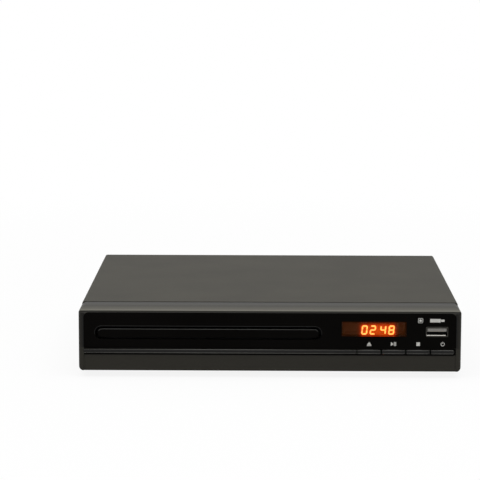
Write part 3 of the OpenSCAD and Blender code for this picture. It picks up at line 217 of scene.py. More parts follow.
def bezelAbs():
    # spark-eroded ABS: painted light on its crown, a dark line at the front edge, a painted highlight just
    # behind it and darker towards the back; its rim is as black as the fascia
    material, tree, place = newMaterial("spark_textured_abs")
    pebbles = grain(tree, place, 0.45, 3, 0.6)
    fasciaLow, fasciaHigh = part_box("fascia")
    low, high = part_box("front_bezel")
    side, under, over, rise = (bezel[key] for key in ("sideFade", "underFade", "overFade", "crownFade"))
    x, y, z = axes(tree, place)
    aside = combined(tree, "ABSOLUTE", x)
    full = spread(tree, aside, 0.0, 1.0, fasciaHigh.x, high.x)
    for other in (spread(tree, aside, 1.0, 0.0, fasciaHigh.x + side[0], fasciaHigh.x + side[1]),
                  spread(tree, z, 1.0, 0.0, fasciaLow.z + under[0], fasciaLow.z + under[1]),
                  spread(tree, z, 0.0, 1.0, fasciaHigh.z + over[0], fasciaHigh.z + over[1])):
        full = combined(tree, "MAXIMUM", full, other)
    # painted light along the crown, from its front edge to its back; above the fascia it takes the place
    # of the front's colour
    crownPaintedLight = shades(tree, spread(tree, y, 0.0, 1.0, low.y, high.y), bezel["crownPaintedLight"])
    up = spread(tree, z, 0.0, 1.0, fasciaHigh.z + rise[0], fasciaHigh.z + rise[1])
    surface(tree, {"IOR": 1.53, "Specular IOR Level": 0.16}, {
        "Base Color": mixed(tree, full, bezel["rim"], mixed(tree, up, bezel["front"], crownPaintedLight)),
        "Roughness": spread(tree, pebbles, 0.46, 0.56),
        "Normal": dent(tree, pebbles, 0.3, 0.04)})
    return material


def pianoAbs():
    # ABS moulded against a polished tool: deep black gloss with the faint waves of the mould
    material, tree, place = newMaterial("piano_black_abs")
    waves = grain(tree, place, 30)
    smears = grain(tree, place, 9, 4)
    surface(tree, {"IOR": 1.53, "Specular IOR Level": 0.02}, {
        "Base Color": shades(tree, waves, [(0.3, "#040302"), (0.7, "#060504")]),
        "Roughness": spread(tree, smears, 0.06, 0.12),
        "Normal": dent(tree, waves, 0.05, 0.05)})
    return material


window = {
    "acrossX": {"centre": 0.0636, "reach": 0.0106, "fade": 0.0022},    # where the painted glow of the lit figures lies
    "upZ": {"centre": 0.0283, "reach": 0.0042, "fade": 0.0026},
    # colours of the painted glow, from its faint edge to its middle
    "glow": [(0.0, "#271002"), (0.35, "#5a1a03"), (0.7, "#b43403"), (1.0, "#dc5408")],
    "strength": 0.45,
}


def smokedAcrylic():
    # smoked acrylic over the display: nearly clear to strong light; its emission is a painted glow for the
    # figures' light spreading in it
    material, tree, place = newMaterial("smoked_acrylic")
    across = hump(tree, place, "X", **window["acrossX"])
    near = combined(tree, "MULTIPLY", across, hump(tree, place, "Z", **window["upZ"]))
    depth = grain(tree, place, 3.5, 2)
    uneven = combined(tree, "MULTIPLY", near, spread(tree, depth, 0.75, 1.0))
    surface(tree, {"IOR": 1.1, "Transmission Weight": 1.0, "Specular IOR Level": 0.5,
                   "Emission Strength": window["strength"]}, {
        "Base Color": shades(tree, depth, [(0.3, "#f2b48c"), (0.7, "#f6bb94")]),
        "Emission Color": shades(tree, uneven, window["glow"]),
        "Roughness": spread(tree, depth, 0.02, 0.05)})
    return material


def satinAbs(name, dark, light, level):
    # dark satin ABS of the strip and the keys: smoother than the bezel, so its edges catch light
    material, tree, place = newMaterial(name)
    fine = grain(tree, place, 0.35, 3)
    surface(tree, {"IOR": 1.53, "Specular IOR Level": level}, {
        "Base Color": shades(tree, grain(tree, place, 12), [(0.3, dark), (0.7, light)]),
        "Roughness": spread(tree, fine, 0.22, 0.3),
        "Normal": dent(tree, fine, 0.12, 0.02)})
    return material


def rolledSheet(name, dark, light, low, high):
    # rolled and zinc-coated steel: bright grey, with a soft spangle and the lines of rolling
    material, tree, place = newMaterial(name)
    lines = grain(tree, stretched(tree, place, (1.0, 0.06, 1.0)), 0.8, 4, 0.6)
    flakes = addNode(tree, "ShaderNodeTexVoronoi", values={"Scale": perSize(5)}, links={"Vector": place})
    surface(tree, {"Metallic": 1.0}, {
        "Base Color": shades(tree, flakes.outputs["Color"], [(0.2, dark), (0.8, light)]),
        "Roughness": spread(tree, lines, low, high),
        "Normal": dent(tree, lines, 0.08, 0.02)})
    return material


def brightNickel():
    # nickel-plated brass and steel: bright, with fine drawing lines and slightly dulled patches
    material, tree, place = newMaterial("bright_nickel")
    dull = grain(tree, place, 1.6, 3)
    surface(tree, {"Metallic": 1.0}, {
        "Base Color": shades(tree, dull, [(0.3, "#bdbab3"), (0.7, "#d6d3cc")]),
        "Roughness": spread(tree, dull, 0.16, 0.28),
        "Normal": dent(tree, dull, 0.05, 0.01)})
    return material


def socketShell():
    # nickel-plated shell sunk in the fascia: painted shade, a darker copy of the nickel, for the dark of
    # its own inside
    material, tree, place = newMaterial("socket_shell")
    dull = grain(tree, place, 1.2, 3)
    surface(tree, {"Metallic": 1.0}, {
        "Base Color": shades(tree, dull, [(0.3, "#3e3c38"), (0.7, "#4c4a45")]),
        "Roughness": spread(tree, dull, 0.24, 0.36)})
    return material


def tongueNylon():
    # grey nylon insulator with painted shade: lit grey at its front edge, darkened towards its back, which
    # is lost in the socket
    material, tree, place = newMaterial("tongue_nylon")
    low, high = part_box("usb_tongue")
    deep = spread(tree, axes(tree, place)["Y"], 0.0, 1.0, low.y, high.y)
    surface(tree, {"IOR": 1.5, "Specular IOR Level": 0.2}, {
        "Base Color": shades(tree, deep, [(0.1, "#83817c"), (0.3, "#141414")]),
        "Roughness": spread(tree, grain(tree, place, 0.8, 3), 0.5, 0.65)})
    return material


def goldPlate():
    # thin gold over copper on the contacts: warm, bright, slightly scratched
    material, tree, place = newMaterial("gold_plated_contact")
    scratches = grain(tree, stretched(tree, place, (1.0, 0.1, 1.0)), 0.3, 3)
    surface(tree, {"Metallic": 1.0}, {
        "Base Color": shades(tree, scratches, [(0.3, "#c79a4a"), (0.7, "#e0b766")]),
        "Roughness": spread(tree, scratches, 0.2, 0.35)})
    return material


def blackZinc():
    # black zinc on the cover screws: dark, with a dull metallic sheen
    material, tree, place = newMaterial("black_zinc")
    worn = grain(tree, place, 0.7, 3)
    surface(tree, {"Metallic": 0.8}, {
        "Base Color": shades(tree, worn, [(0.35, "#1c1c1e"), (0.75, "#3a3a3c")]),
        "Roughness": spread(tree, worn, 0.32, 0.5),
        "Normal": dent(tree, worn, 0.1, 0.02)})
    return material


def mouldedRubber():
    # moulded rubber: dull black with a little dust in its pores
    material, tree, place = newMaterial("moulded_rubber")
    pores = grain(tree, place, 0.6, 4)
    surface(tree, {"IOR": 1.52, "Specular IOR Level": 0.3}, {
        "Base Color": shades(tree, pores, [(0.35, "#121212"), (0.75, "#1e1d1c")]),
        "Roughness": spread(tree, pores, 0.72, 0.9),
        "Normal": dent(tree, pores, 0.4, 0.05)})
    return material


def naturalAcetal():
    # natural acetal of the gears: milky white, a little translucent, with faint flow lines
    material, tree, place = newMaterial("natural_acetal")
    flow = grain(tree, place, 4, 3)
    surface(tree, {"IOR": 1.48, "Subsurface Weight": 0.15, "Subsurface Scale": 0.5,
                   "Subsurface Radius": (0.002, 0.002, 0.0015)}, {
        "Base Color": shades(tree, flow, [(0.3, "#dbd8cd"), (0.7, "#e6e3d9")]),
        "Roughness": spread(tree, flow, 0.3, 0.42)})
    return material


def solderMask():
    # glass-fibre board under green solder mask: covered copper shows as lighter raised lines
    material, tree, place = newMaterial("solder_mask")
    tracks = addNode(tree, "ShaderNodeTexBrick", values={
        "Scale": perSize(9), "Mortar Size": 0.02, "Brick Width": 0.7, "Row Height": 0.2,
        "Color1": linear("#124a2b"), "Color2": linear("#15522f"), "Mortar": linear("#2f7d4b")},
        links={"Vector": place})
    surface(tree, {"IOR": 1.5}, {
        "Base Color": tracks.outputs["Color"],
        "Roughness": spread(tree, grain(tree, place, 2), 0.28, 0.4),
        "Normal": dent(tree, tracks.outputs["Fac"], 0.3, 0.03)})
    return material


def phenolicPaper():
    # brown phenolic paper board: short paper fibres in a translucent brown
    material, tree, place = newMaterial("phenolic_paper")
    fibres = grain(tree, place, 0.9, 5, 0.7)
    surface(tree, {"IOR": 1.5}, {
        "Base Color": shades(tree, fibres, [(0.3, "#8a6a38"), (0.7, "#a9854c")]),
        "Roughness": spread(tree, fibres, 0.35, 0.5)})
    return material


def mouldedEpoxy():
    # charcoal moulding compound of chips and sockets: matt, with a fine speckle
    material, tree, place = newMaterial("moulding_compound")
    speckle = grain(tree, place, 0.3, 4)
    surface(tree, {"IOR": 1.5, "Specular IOR Level": 0.3}, {
        "Base Color": shades(tree, speckle, [(0.35, "#151516"), (0.75, "#212122")]),
        "Roughness": spread(tree, speckle, 0.45, 0.62),
        "Normal": dent(tree, speckle, 0.2, 0.02)})
    return material


def extrudedAluminium():
    # extruded aluminium: bright satin with long straight die lines
    material, tree, place = newMaterial("extruded_aluminium")
    lines = grain(tree, stretched(tree, place, (1.0, 0.03, 1.0)), 0.4, 3)
    surface(tree, {"Metallic": 1.0}, {
        "Base Color": shades(tree, lines, [(0.3, "#c2c4c6"), (0.7, "#d9dadb")]),
        "Roughness": spread(tree, lines, 0.28, 0.4)})
    return material


def coatedGlass():
    # the objective: clear glass with the violet-blue cast of its coating
    material, tree, place = newMaterial("coated_glass")
    surface(tree, {"IOR": 1.6, "Transmission Weight": 1.0, "Roughness": 0.02}, {
        "Base Color": shades(tree, grain(tree, place, 2), [(0.3, "#b9c4f0"), (0.7, "#cfc2f2")])})
    return material


def polyesterTape():
    # yellow winding tape: glossy, with the edges of its wraps showing as fine rings
    material, tree, place = newMaterial("polyester_tape")
    wraps = addNode(tree, "ShaderNodeTexWave", {"bands_direction": "Z"}, {
        "Scale": perSize(9), "Distortion": 0.6}, {"Vector": place}).outputs["Fac"]
    surface(tree, {"IOR": 1.6}, {
        "Base Color": shades(tree, wraps, [(0.1, "#b98a1d"), (0.5, "#d9ab2f")]),
        "Roughness": spread(tree, wraps, 0.2, 0.32)})
    return material


def shrinkSleeve():
    # shrink sleeve of the capacitors: dark blue, smooth, slightly wrinkled
    material, tree, place = newMaterial("shrink_sleeve")
    wrinkles = grain(tree, place, 3, 2)
    surface(tree, {"IOR": 1.5}, {
        "Base Color": shades(tree, wrinkles, [(0.3, "#111a2b"), (0.7, "#182338")]),
        "Roughness": spread(tree, wrinkles, 0.22, 0.34),
        "Normal": dent(tree, wrinkles, 0.15, 0.05)})
    return material


def jackNylon():
    # nylon inserts of the four jacks, each in the colour of its signal, left to right from the front
    material, tree, place = newMaterial("jack_nylon")
    low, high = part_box("jack_inserts")
    share = spread(tree, axes(tree, place)["X"], 0.0, 1.0, low.x, high.x)
    colours = ("#c4601a", "#b8231d", "#d3d1ca", "#d2ae1a")
    stops = [(i / len(colours), colour) for i, colour in enumerate(colours)]
    surface(tree, {"IOR": 1.53}, {
        "Base Color": shades(tree, share, stops, "CONSTANT"),
        "Roughness": spread(tree, grain(tree, place, 1), 0.3, 0.45)})
    return material


def whiteMoulding():
    # white moulded plastic: slightly warm, satin, faintly uneven
    material, tree, place = newMaterial("white_moulding")
    flow = grain(tree, place, 3, 3)
    surface(tree, {"IOR": 1.5}, {
        "Base Color": shades(tree, flow, [(0.3, "#cfcdc6"), (0.7, "#dad8d1")]),
        "Roughness": spread(tree, flow, 0.35, 0.5)})
    return material


def flatCable():
    # flat cable: tinned conductors side by side under clear film, one each millimetre
    material, tree, place = newMaterial("flat_cable_film")
    bands = addNode(tree, "ShaderNodeTexWave", {"bands_direction": "X"}, {
        "Scale": perSize(1) / 20, "Distortion": 0.0}, {"Vector": place}).outputs["Fac"]
    surface(tree, {"IOR": 1.5}, {
        "Base Color": shades(tree, bands, [(0.35, "#e0e2e4"), (0.65, "#a9adb1")]),
        "Roughness": spread(tree, bands, 0.25, 0.4)})
    return material


def printedInk():
    # pale grey pad-printed ink: matt, with a slightly uneven cover
    material, tree, place = newMaterial("pad_printed_ink")
    cover = grain(tree, place, 0.4, 3)
    surface(tree, {"IOR": 1.45, "Specular IOR Level": 0.2}, {
        "Base Color": shades(tree, cover, [(0.3, "#b4b3ae"), (0.7, "#cbcac5")]),
        "Roughness": spread(tree, cover, 0.5, 0.65)})
    return material


def litSegment():
    # a lit segment: nearly white yellow in the middle, warmer where its film is thicker
    material, tree, place = newMaterial("lit_segment")
    core = grain(tree, place, 1.2, 1)
    surface(tree, {"IOR": 1.45, "Roughness": 0.4, "Emission Strength": 2.0}, {
        "Base Color": shades(tree, core, [(0.3, "#ffb060"), (0.7, "#ffc880")]),
        "Emission Color": shades(tree, core, [(0.35, "#ffc078"), (0.65, "#ffd296")])})
    return material


def dressNodes(satin, gloss):
    steel = rolledSheet("zinc_plated_steel", "#9b9e9f", "#a9acad", 0.3, 0.45)
    galvanised = rolledSheet("galvanised_steel", "#a6a9aa", "#bbbdbe", 0.32, 0.5)
    drawn = rolledSheet("drawn_steel_can", "#8a8d8f", "#989b9d", 0.25, 0.4)
    nickel, rubber, white, epoxy = brightNickel(), mouldedRubber(), whiteMoulding(), mouldedEpoxy()
    acetal, mask = naturalAcetal(), solderMask()
    moulded = sparkedAbs("moulded_frame_abs", "#1a1a1b", "#212122", 0.5, 0.62)
    finishes = [
        (powderCoat(), ["top_cover"]),
        (bezelAbs(), ["front_bezel"]),
        (sparkedAbs("tray_abs", "#161617", "#1b1b1c", 0.4, 0.52), ["tray"]),
        (gloss, ["fascia", "tray_trim"]),
        (smokedAcrylic(), ["display_window"]),
        (satin, ["trim_strip", "button_open", "button_play", "button_stop", "button_standby"]),
        (steel, ["chassis_base", "rear_panel", "front_screws", "loader_screws", "board_screws",
                 "deck_screws"]),
        (galvanised, ["clamp_bridge", "mechanism_plate"]),
        (drawn, ["loading_motor", "spindle_motor", "sled_motor"]),
        (nickel, ["hdmi_socket", "jack_barrels", "inlet_pins", "guide_rods", "lead_screw"]),
        (socketShell(), ["usb_socket"]),
        (tongueNylon(), ["usb_tongue"]),
        (blackZinc(), ["cover_screws"]),
        (rubber, ["feet", "deck_bushes", "loading_belt"]),
        (moulded, ["loader_frame", "deck_frame", "pickup_sled"]),
        (acetal, ["motor_pulley", "pulley_gear", "drive_gear", "cam_slide"]),
        (white, ["clamper"]),
        (mask, ["front_board", "main_board"]),
        (phenolicPaper(), ["power_board"]),
        (epoxy, ["tact_switches", "ir_receiver", "turntable", "main_chips", "mains_inlet",
                 "scart_socket", "jack_block", "display_module", "hdmi_tongue"]),
        (extrudedAluminium(), ["heatsink"]),
        (coatedGlass(), ["objective_lens"]),
        (polyesterTape(), ["transformer"]),
        (shrinkSleeve(), ["power_parts"]),
        (jackNylon(), ["jack_inserts"]),
        (flatCable(), ["front_cable"]),
    ]
    for material, names in finishes:
        for name in names:
            mesh = parts[name].data
            mesh.materials.clear()
            mesh.materials.append(material)
    print("dressed", sum(len(names) for _, names in finishes), "of", len(parts), "nodes")


def startPiece(adder, **settings):
    # adds a primitive while nothing else is selected
    bpy.ops.object.select_all(action="DESELECT")
    adder(**settings)
    return bpy.context.object


def pick(*pieces):
    # selects only these, the first of them active
    bpy.ops.object.select_all(action="DESELECT")
    for piece in pieces:
        piece.select_set(True)
    bpy.context.view_layer.objects.active = pieces[0]


def startEdit(piece):
    pick(piece)
    bpy.ops.object.mode_set(mode="EDIT")
    bpy.ops.mesh.select_all(action="SELECT")


def endEdit():
    bpy.ops.object.mode_set(mode="OBJECT")


def turnOut():
    # turns every face outwards
    bpy.ops.mesh.select_all(action="SELECT")
    bpy.ops.mesh.normals_make_consistent(inside=False)


def settle(piece):
    # puts the piece's place, turn and size into its mesh
    pick(piece)
    bpy.ops.object.transform_apply(location=True, rotation=True, scale=True)


def moved(piece, place=(0, 0, 0), turn=(0, 0, 0), size=(1, 1, 1)):
    # scales, then turns, then moves a piece that stands at the origin
    piece.scale = size
    settle(piece)
    piece.rotation_euler = turn
    settle(piece)
    piece.location = place
    settle(piece)
    return piece


def thicken(piece, height):
    # pulls a flat face up into a plate
    startEdit(piece)
    bpy.ops.mesh.extrude_region_move(TRANSFORM_OT_translate={"value": (0, 0, height)})
    turnOut()
    endEdit()
    return piece


def joined(pieces):
    pick(*pieces)
    if len(pieces) > 1:
        bpy.ops.object.join()
    return pieces[0]


def finishPiece(piece, name, material, body):
    piece.name = piece.data.name = name
    piece.data.materials.clear()
    piece.data.materials.append(material)
    settle(piece)
    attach(piece, body)


figures = {
    "shown": "0248",                                # each has its bars in segmentsOf
    "width": 3.5 * mm,
    "height": 5.5 * mm,
    "stroke": 0.8 * mm,
    "starts": (0, 4.9 * mm, 10.9 * mm, 15.8 * mm),  # two pairs
    "slant": 0.1,
    "thick": 0.3 * mm,
    "behind": 0.1 * mm,                             # behind the window
    "middle": (0.0636, 0.0285),
    "point": 0.46,                                  # the last three are shares of the stroke
    "uprightGap": 0.12,
    "levelGap": 1.1,
}
segmentsOf = {"0": "abcdef", "2": "abged", "4": "fgbc", "8": "abcdefg"}


def makeSegment(length, upright):
    # a flat bar whose corners are cut back to points
    stroke = figures["stroke"]
    bar = moved(startPiece(bpy.ops.mesh.primitive_plane_add, size=1), size=(length, stroke, 1))
    startEdit(bar)
    bpy.ops.mesh.bevel(offset=stroke * figures["point"], affect="VERTICES")
    endEdit()
    thicken(bar, figures["thick"])
    return moved(bar, turn=(quarterTurn, quarterTurn if upright else 0, 0))


def makeFigures(lit):
    width, height, stroke = figures["width"], figures["height"], figures["stroke"]
    reach, rise = width / 2 - stroke / 2, height / 2 - stroke / 2
    half = rise / 2
    spots = {"a": (0, rise, False), "g": (0, 0, False), "d": (0, -rise, False),
             "b": (reach, half, True), "f": (-reach, half, True),
             "c": (reach, -half, True), "e": (-reach, -half, True)}
    firstX = figures["middle"][0] - figures["starts"][-1] / 2
    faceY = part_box("display_window")[1].y + figures["behind"] + figures["thick"]
    for index, figure in enumerate(figures["shown"]):
        bars = []
        for key in segmentsOf[figure]:
            x, z, upright = spots[key]
            span, gap = (rise, figures["uprightGap"]) if upright else (width, figures["levelGap"])
            length = span - stroke * gap
            bars.append(moved(makeSegment(length, upright), (x, 0, z)))
        whole = joined(bars)
        for point in whole.data.vertices:
            point.co.x += point.co.z * figures["slant"]
        moved(whole, (firstX + figures["starts"][index], faceY, figures["middle"][1]))
        finishPiece(whole, f"display_figure_{index + 1}", lit, "housing")
    print("display figures:", len(figures["shown"]))


signs = {
    "height": 16.45 * mm,                   # over the underside of the bezel
    "size": 2.7 * mm,
    "ink": 0.03 * mm,                       # how far the ink stands on the fascia
    "upperHeight": 30.5 * mm,
    "receiverAside": 9.8 * mm,              # from the middle of the socket
    "weld": 0.002 * mm,
}
keySigns = {       # polygons as corners, width, height, turn and place, in shares of the size
    "open": [(3, 0.95, 0.62, 0.0, (0, 0.13)), (4, 0.95, 0.16, eighthTurn, (0, -0.36))],
    "play": [(3, 0.6, 0.86, -quarterTurn, (-0.3, 0)), (4, 0.17, 0.86, eighthTurn, (0.14, 0)),
             (4, 0.17, 0.86, eighthTurn, (0.44, 0))],
    "stop": [(4, 0.78, 0.78, eighthTurn, (0, 0))],
    "standby": [(4, 0.12, 0.42, eighthTurn, (0, 0.3))],
}
standbyRing = {"radius": 0.38, "stroke": 0.12, "start": 122, "end": 418, "steps": 32}
upperSigns = {     # a memory stick over its socket, and a receiver mark beside it, in millimetres
    "stick": [(4, 6.2, 2.1, eighthTurn, (-1.1, 0)), (4, 2.0, 1.3, eighthTurn, (3.2, 0))],
    "receiver": [(4, 2.9, 0.3, eighthTurn, (0, 1.3)), (4, 2.9, 0.3, eighthTurn, (0, -1.3)),
                 (4, 0.3, 2.9, eighthTurn, (-1.3, 0)), (4, 0.3, 2.9, eighthTurn, (1.3, 0)),
                 (32, 1.5, 1.5, 0.0, (0, 0))],
}


def inkShape(unit, corners, width, height, turn, place):
    # a polygon that has its width and height after it is turned
    shape = startPiece(bpy.ops.mesh.primitive_circle_add, vertices=corners, radius=1, fill_type="NGON")
    moved(shape, turn=(0, 0, turn))
    spanX, spanY = shape.dimensions.x, shape.dimensions.y
    lowX = min(point.co.x for point in shape.data.vertices)
    lowY = min(point.co.y for point in shape.data.vertices)
    moved(shape, (-lowX - spanX / 2, -lowY - spanY / 2, 0))
    moved(shape, (unit * place[0], unit * place[1], 0),
          size=(unit * width / spanX, unit * height / spanY, 1))
    return thicken(shape, signs["ink"])


def inkRing(unit):
    # part of a flat ring, spun from a small upright face
    start, end = math.radians(standbyRing["start"]), math.radians(standbyRing["end"])
    ring = startPiece(bpy.ops.mesh.primitive_plane_add, size=1)
    moved(ring, (unit * standbyRing["radius"], 0, signs["ink"] / 2), (quarterTurn, 0, 0),
          (unit * standbyRing["stroke"], signs["ink"], 1))
    moved(ring, turn=(0, 0, end))           # the spin runs clockwise from its end to its start
    startEdit(ring)
    bpy.ops.mesh.spin(steps=standbyRing["steps"], angle=end - start, center=(0, 0, 0), axis=(0, 0, 1))
    bpy.ops.mesh.select_all(action="SELECT")
    bpy.ops.mesh.remove_doubles(threshold=signs["weld"])
    turnOut()
    endEdit()
    return ring


def printOn(shapes, name, ink, x, z):
    # stands the joined shapes upright on the face of the fascia
    sign = joined(shapes)
    moved(sign, (x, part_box("fascia")[0].y, z), (quarterTurn, 0, 0))
    finishPiece(sign, name, ink, "housing")


def makeSigns(ink):
    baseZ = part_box("front_bezel")[0].z
    size = signs["size"]
    for key, shapes in keySigns.items():
        low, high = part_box("button_" + key)
        ring = [inkRing(size)] if key == "standby" else []
        printOn(ring + [inkShape(size, *shape) for shape in shapes], "sign_" + key, ink,
                (low.x + high.x) / 2, baseZ + signs["height"])
    low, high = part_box("usb_socket")
    middle = (low.x + high.x) / 2
    places = {"stick": middle, "receiver": middle - signs["receiverAside"]}
    for key, shapes in upperSigns.items():
        printOn([inkShape(mm, *shape) for shape in shapes], "sign_" + key, ink,
                places[key], baseZ + signs["upperHeight"])
    print("printed signs:", len(keySigns) + len(upperSigns))


edges = {
    "bead": 0.17 * mm,        # radius of the rounded edge that stands over the slot and the trim
    "steps": 48,
    "around": 12,
    "sunk": 0.10 * mm,
    "trimFrom": 1.2 * mm,     # the edge of the trim starts this far over its middle
    "slotFrom": -0.8 * mm,
    "slotSide": 1.8 * mm,     # the slot's outline around the trim
    "slotUnder": 1.2 * mm,
    "slotOver": 1.7 * mm,
    "beyond": 2.0 * mm,
    "border": 1.0 * mm,
    "borderFlat": 0.2,
    "borderSunk": 0.02 * mm,
    "borderFrom": 0.1 * mm,   # past the left end of the strip
}


def cutAway(piece, place, normal):
    # cuts off what lies behind a plane and closes the cut
    startEdit(piece)
    bpy.ops.mesh.bisect(plane_co=place, plane_no=normal, use_fill=True, clear_inner=True)
    endEdit()


def makeLoop(low, high, bead, y, flat=1.0):
    # a round bead along the outline of a long shape with round ends: a torus pulled apart in the middle
    radius = (high.z - low.z) / 2 - bead
    length = (high.x - low.x) - bead * 2 - radius * 2
    loop = startPiece(bpy.ops.mesh.primitive_torus_add, major_radius=radius, minor_radius=bead,
                      major_segments=edges["steps"], minor_segments=edges["around"])
    moved(loop, turn=(0, 0, math.pi / edges["steps"]))
    moved(loop, turn=(quarterTurn, 0, 0))
    startEdit(loop)
    bpy.ops.mesh.select_all(action="DESELECT")
    endEdit()
    for point in loop.data.vertices:
        point.select = point.co.x > 0
    bpy.ops.object.mode_set(mode="EDIT")
    bpy.ops.transform.translate(value=(length, 0, 0))
    endEdit()
    bpy.ops.object.shade_smooth()
    return moved(loop, (low.x + bead + radius, y, (low.z + high.z) / 2), size=(1, flat, 1))


def makeTrimEdge(material):
    # a lip over the top of the tray trim, whose lighter colour is a painted highlight where its edge
    # catches the light
    low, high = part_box("tray_trim")
    trim = makeLoop(low, high, edges["bead"], low.y + edges["sunk"])
    cutAway(trim, (0, 0, (low.z + high.z) / 2 + edges["trimFrom"]), (0, 0, 1))
    finishPiece(trim, "trim_edge", material, "disc_tray")


def makeSlotEdge(material):
    # a lip over the slot, all round but for its underside, where no light falls; its satin, paler and
    # shinier than the fascia, is a painted highlight on the slot's edge
    bead = edges["bead"]
    low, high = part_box("tray_trim")
    slotLow = Vector((low.x - edges["slotSide"] - bead, 0, low.z - edges["slotUnder"] - bead))
    slotHigh = Vector((high.x + edges["slotSide"] + bead, 0, high.z + edges["slotOver"] + bead))
    slot = makeLoop(slotLow, slotHigh, bead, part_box("fascia")[0].y + edges["sunk"])
    cutAway(slot, (0, 0, (low.z + high.z) / 2 + edges["slotFrom"]), (0, 0, 1))
    finishPiece(slot, "slot_edge", material, "housing")


def makeBorder(material):
    # a thin band of black gloss round the strip and the buttons, which darkens the channel in which they
    # lie
    reach = edges["border"]
    stripLow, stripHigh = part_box("trim_strip")
    low = Vector((stripLow.x - edges["beyond"], 0, stripLow.z - reach))
    high = Vector((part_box("button_standby")[1].x + reach, 0, stripHigh.z + reach))
    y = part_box("front_bezel")[0].y + edges["borderSunk"]
    border = makeLoop(low, high, reach / 2, y, edges["borderFlat"])
    cutAway(border, (stripLow.x + edges["borderFrom"], 0, 0), (1, 0, 0))
    finishPiece(border, "channel_border", material, "housing")


socketLip = {
    "radius": 0.28 * mm,
    "behind": 0.35 * mm,      # behind the front edge of the shell
    "up": 0.80 * mm,
    "ends": (0.35 * mm, 1.3 * mm),
    "around": 16,
    "smooth": 40,             # degrees
}


def makeSocketLip():
    # the lower edge of the socket is rolled up; its bright nickel, against the darkened shell, is a
    # painted highlight for the light it catches from above
    low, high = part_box("usb_socket")
    start, end = low.x + socketLip["ends"][0], high.x - socketLip["ends"][1]
    lip = startPiece(bpy.ops.mesh.primitive_cylinder_add, vertices=socketLip["around"],
                     radius=socketLip["radius"], depth=end - start)
    bpy.ops.object.shade_smooth_by_angle(angle=math.radians(socketLip["smooth"]))
    moved(lip, ((start + end) / 2, low.y + socketLip["behind"], low.z + socketLip["up"]),
          (0, quarterTurn, 0))
    finishPiece(lip, "usb_lip", bpy.data.materials["bright_nickel"], "housing")


blades = {         # "inset" is from the front of the tongue
    "usb": {"count": 4, "pitch": 2.3 * mm, "width": 1.0 * mm, "length": 6.5 * mm,
            "thick": 0.12 * mm, "inset": 0.3 * mm},
    "hdmi": {"count": 10, "pitch": 1.0 * mm, "width": 0.45 * mm, "length": 7.0 * mm,
             "thick": 0.10 * mm, "inset": 0.3 * mm},
    "scart": {"count": 10, "pitch": 3.4 * mm, "width": 1.5 * mm, "length": 7.0 * mm,
              "thick": 0.16 * mm, "inset": 0.5 * mm},
}
usbRise = 0.1 * mm            # of the contacts over the middle of their tongue
scartTongue = {"left": -88.7 * mm, "right": -53.2 * mm, "under": 17.6 * mm, "over": 22.6 * mm,
               "mouth": 94.35 * mm}


def makeBlades(key, gold, middleX, frontY, inwards, under, over=None):
    # contacts side by side on the faces of a socket's tongue, each sunk by a quarter of its thickness
    kind = blades[key]
    middleY = frontY + inwards * (kind["inset"] + kind["length"] / 2)
    levels = [under - kind["thick"] / 4] + ([over + kind["thick"] / 4] if over else [])
    row = []
    for level in levels:
        for i in range(kind["count"]):
            x = middleX + (i - (kind["count"] - 1) / 2) * kind["pitch"]
            row.append(moved(startPiece(bpy.ops.mesh.primitive_cube_add, size=1), (x, middleY, level),
                             size=(kind["width"], kind["length"], kind["thick"])))
    finishPiece(joined(row), key + "_contacts", gold, "housing")


def makeContacts(gold):
    low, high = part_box("usb_tongue")
    makeBlades("usb", gold, (low.x + high.x) / 2, low.y, 1, (low.z + high.z) / 2 + usbRise)
    low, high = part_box("hdmi_tongue")
    makeBlades("hdmi", gold, (low.x + high.x) / 2, high.y, -1, low.z, high.z)
    middle = (scartTongue["left"] + scartTongue["right"]) / 2
    makeBlades("scart", gold, middle, scartTongue["mouth"], -1, scartTongue["under"], scartTongue["over"])
    print("contact rows:", len(blades))


ribs = {
    "bead": 0.3 * mm,         # they fill the slanted edges of the strip and of the buttons
    "spare": 3.0 * mm,
}


def makeRibs(node, body, satin, roundRight=False):
    # a rib of lighter colour along the upper and the lower edge, a painted highlight, joined round the end
    # of the last button
    low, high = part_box(node)
    bead, spare = ribs["bead"], ribs["spare"]
    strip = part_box("trim_strip")
    start = Vector((low.x - spare, 0, strip[0].z))
    end = Vector((high.x + (0 if roundRight else spare), 0, strip[1].z))
    rib = makeLoop(start, end, bead, low.y + bead)
    cutAway(rib, (low.x, 0, 0), (1, 0, 0))
    if not roundRight:
        cutAway(rib, (high.x, 0, 0), (-1, 0, 0))
    finishPiece(rib, node + "_ribs", satin, body)


studio = {
    "floorSize": 12.0,
    "fill": 0.42,             # world light on matt surfaces
    "shadowReach": (0.22, 0.75),
    "shadowShare": 0.12,      # how much of the shadow the camera sees on the paper
}
softboxes = {                 # place, width, height and power
    "top_softbox": ((0, -0.35, 1.6), 2.4, 1.6, 22),
    "back_softbox": ((0, 1.5, 1.0), 2.4, 0.8, 0.5),
    "front_softbox": ((-0.6, -1.9, 1.2), 1.6, 1.0, 1.2),
}


def seenWhite(tree):
    # 1 for the camera, mirrors and glass, 0 for the light that falls on matt surfaces
    ray = addNode(tree, "ShaderNodeLightPath").outputs
    first = combined(tree, "MAXIMUM", ray["Is Camera Ray"], ray["Is Glossy Ray"])
    return combined(tree, "MAXIMUM", first, ray["Is Transmission Ray"])


def addLamp(name, place, width, height, power):
    data = bpy.data.lights.new(name, "AREA")
    data.shape = "RECTANGLE"
    data.size = width
    data.size_y = height
    data.energy = power
    lamp = bpy.data.objects.new(name, data)
    scene.collection.objects.link(lamp)
    lamp.location = place
    lamp.rotation_euler = (-Vector(place)).to_track_quat("-Z", "Y").to_euler()


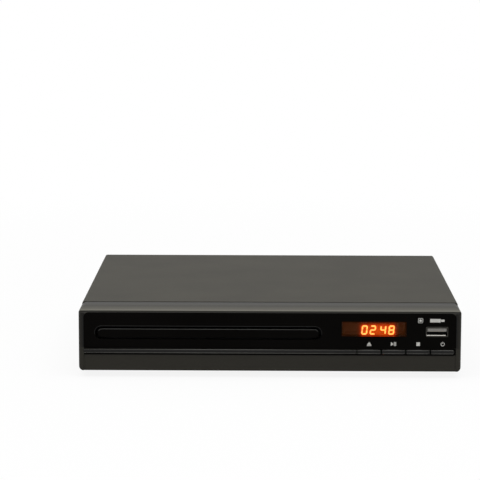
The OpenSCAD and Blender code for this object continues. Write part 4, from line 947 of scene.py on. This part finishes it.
def makeWorld():
    world = bpy.data.worlds.new("studio")
    scene.world = world
    world.use_nodes = True
    tree = world.node_tree
    tree.nodes.clear()
    strength = spread(tree, seenWhite(tree), studio["fill"], 1.0, 0.0, 1.0)
    sky = addNode(tree, "ShaderNodeBackground", values={"Color": (1, 1, 1, 1)},
                  links={"Strength": strength})
    addNode(tree, "ShaderNodeOutputWorld", links={"Surface": sky.outputs["Background"]})


def makeFloor():
    # white paper that shows the camera only a share of the object's shadow
    floor = startPiece(bpy.ops.mesh.primitive_plane_add, size=studio["floorSize"], location=(0, 0, 0))
    floor.name = "floor"
    paper, tree, place = newMaterial("white_paper")
    far = addNode(tree, "ShaderNodeVectorMath", {"operation": "LENGTH"}, links={0: place}).outputs["Value"]
    near, end = studio["shadowReach"]
    whiteness = spread(tree, far, 1 - studio["shadowShare"], 1.0, near, end)
    share = combined(tree, "MULTIPLY", whiteness, seenWhite(tree))
    matt = addNode(tree, "ShaderNodeBsdfDiffuse", values={"Color": linear("#fbfbfb")})
    glow = addNode(tree, "ShaderNodeEmission", values={"Color": (1, 1, 1, 1), "Strength": 1.0})
    mix = addNode(tree, "ShaderNodeMixShader", links={
        0: share, 1: matt.outputs["BSDF"], 2: glow.outputs["Emission"]})
    addNode(tree, "ShaderNodeOutputMaterial", links={"Surface": mix.outputs["Shader"]})
    floor.data.materials.append(paper)


def makeStudio():
    makeWorld()
    makeFloor()
    for name, settings in softboxes.items():
        addLamp(name, *settings)
    scene.view_settings.view_transform = "Standard"
    print("studio ready")


makeCamera()
makeStudio()
satin = satinAbs("satin_dark_abs", "#0a0907", "#0c0b09", 0.18)
# a lighter copy of the satin ABS: painted highlight on the ribs and on the trim's edge
highlightSatin = satinAbs("painted_highlight_abs", "#282722", "#2d2c27", 0.5)
gloss = pianoAbs()
dressNodes(satin, gloss)
makeFigures(litSegment())
makeSigns(printedInk())
makeTrimEdge(highlightSatin)
makeSlotEdge(satin)
makeBorder(gloss)
makeSocketLip()
print("edges and lips made")
makeContacts(goldPlate())
makeRibs("trim_strip", "housing", highlightSatin)
for key in keySigns:
    makeRibs("button_" + key, key + "_button", highlightSatin, key == "standby")
print("ribs made")
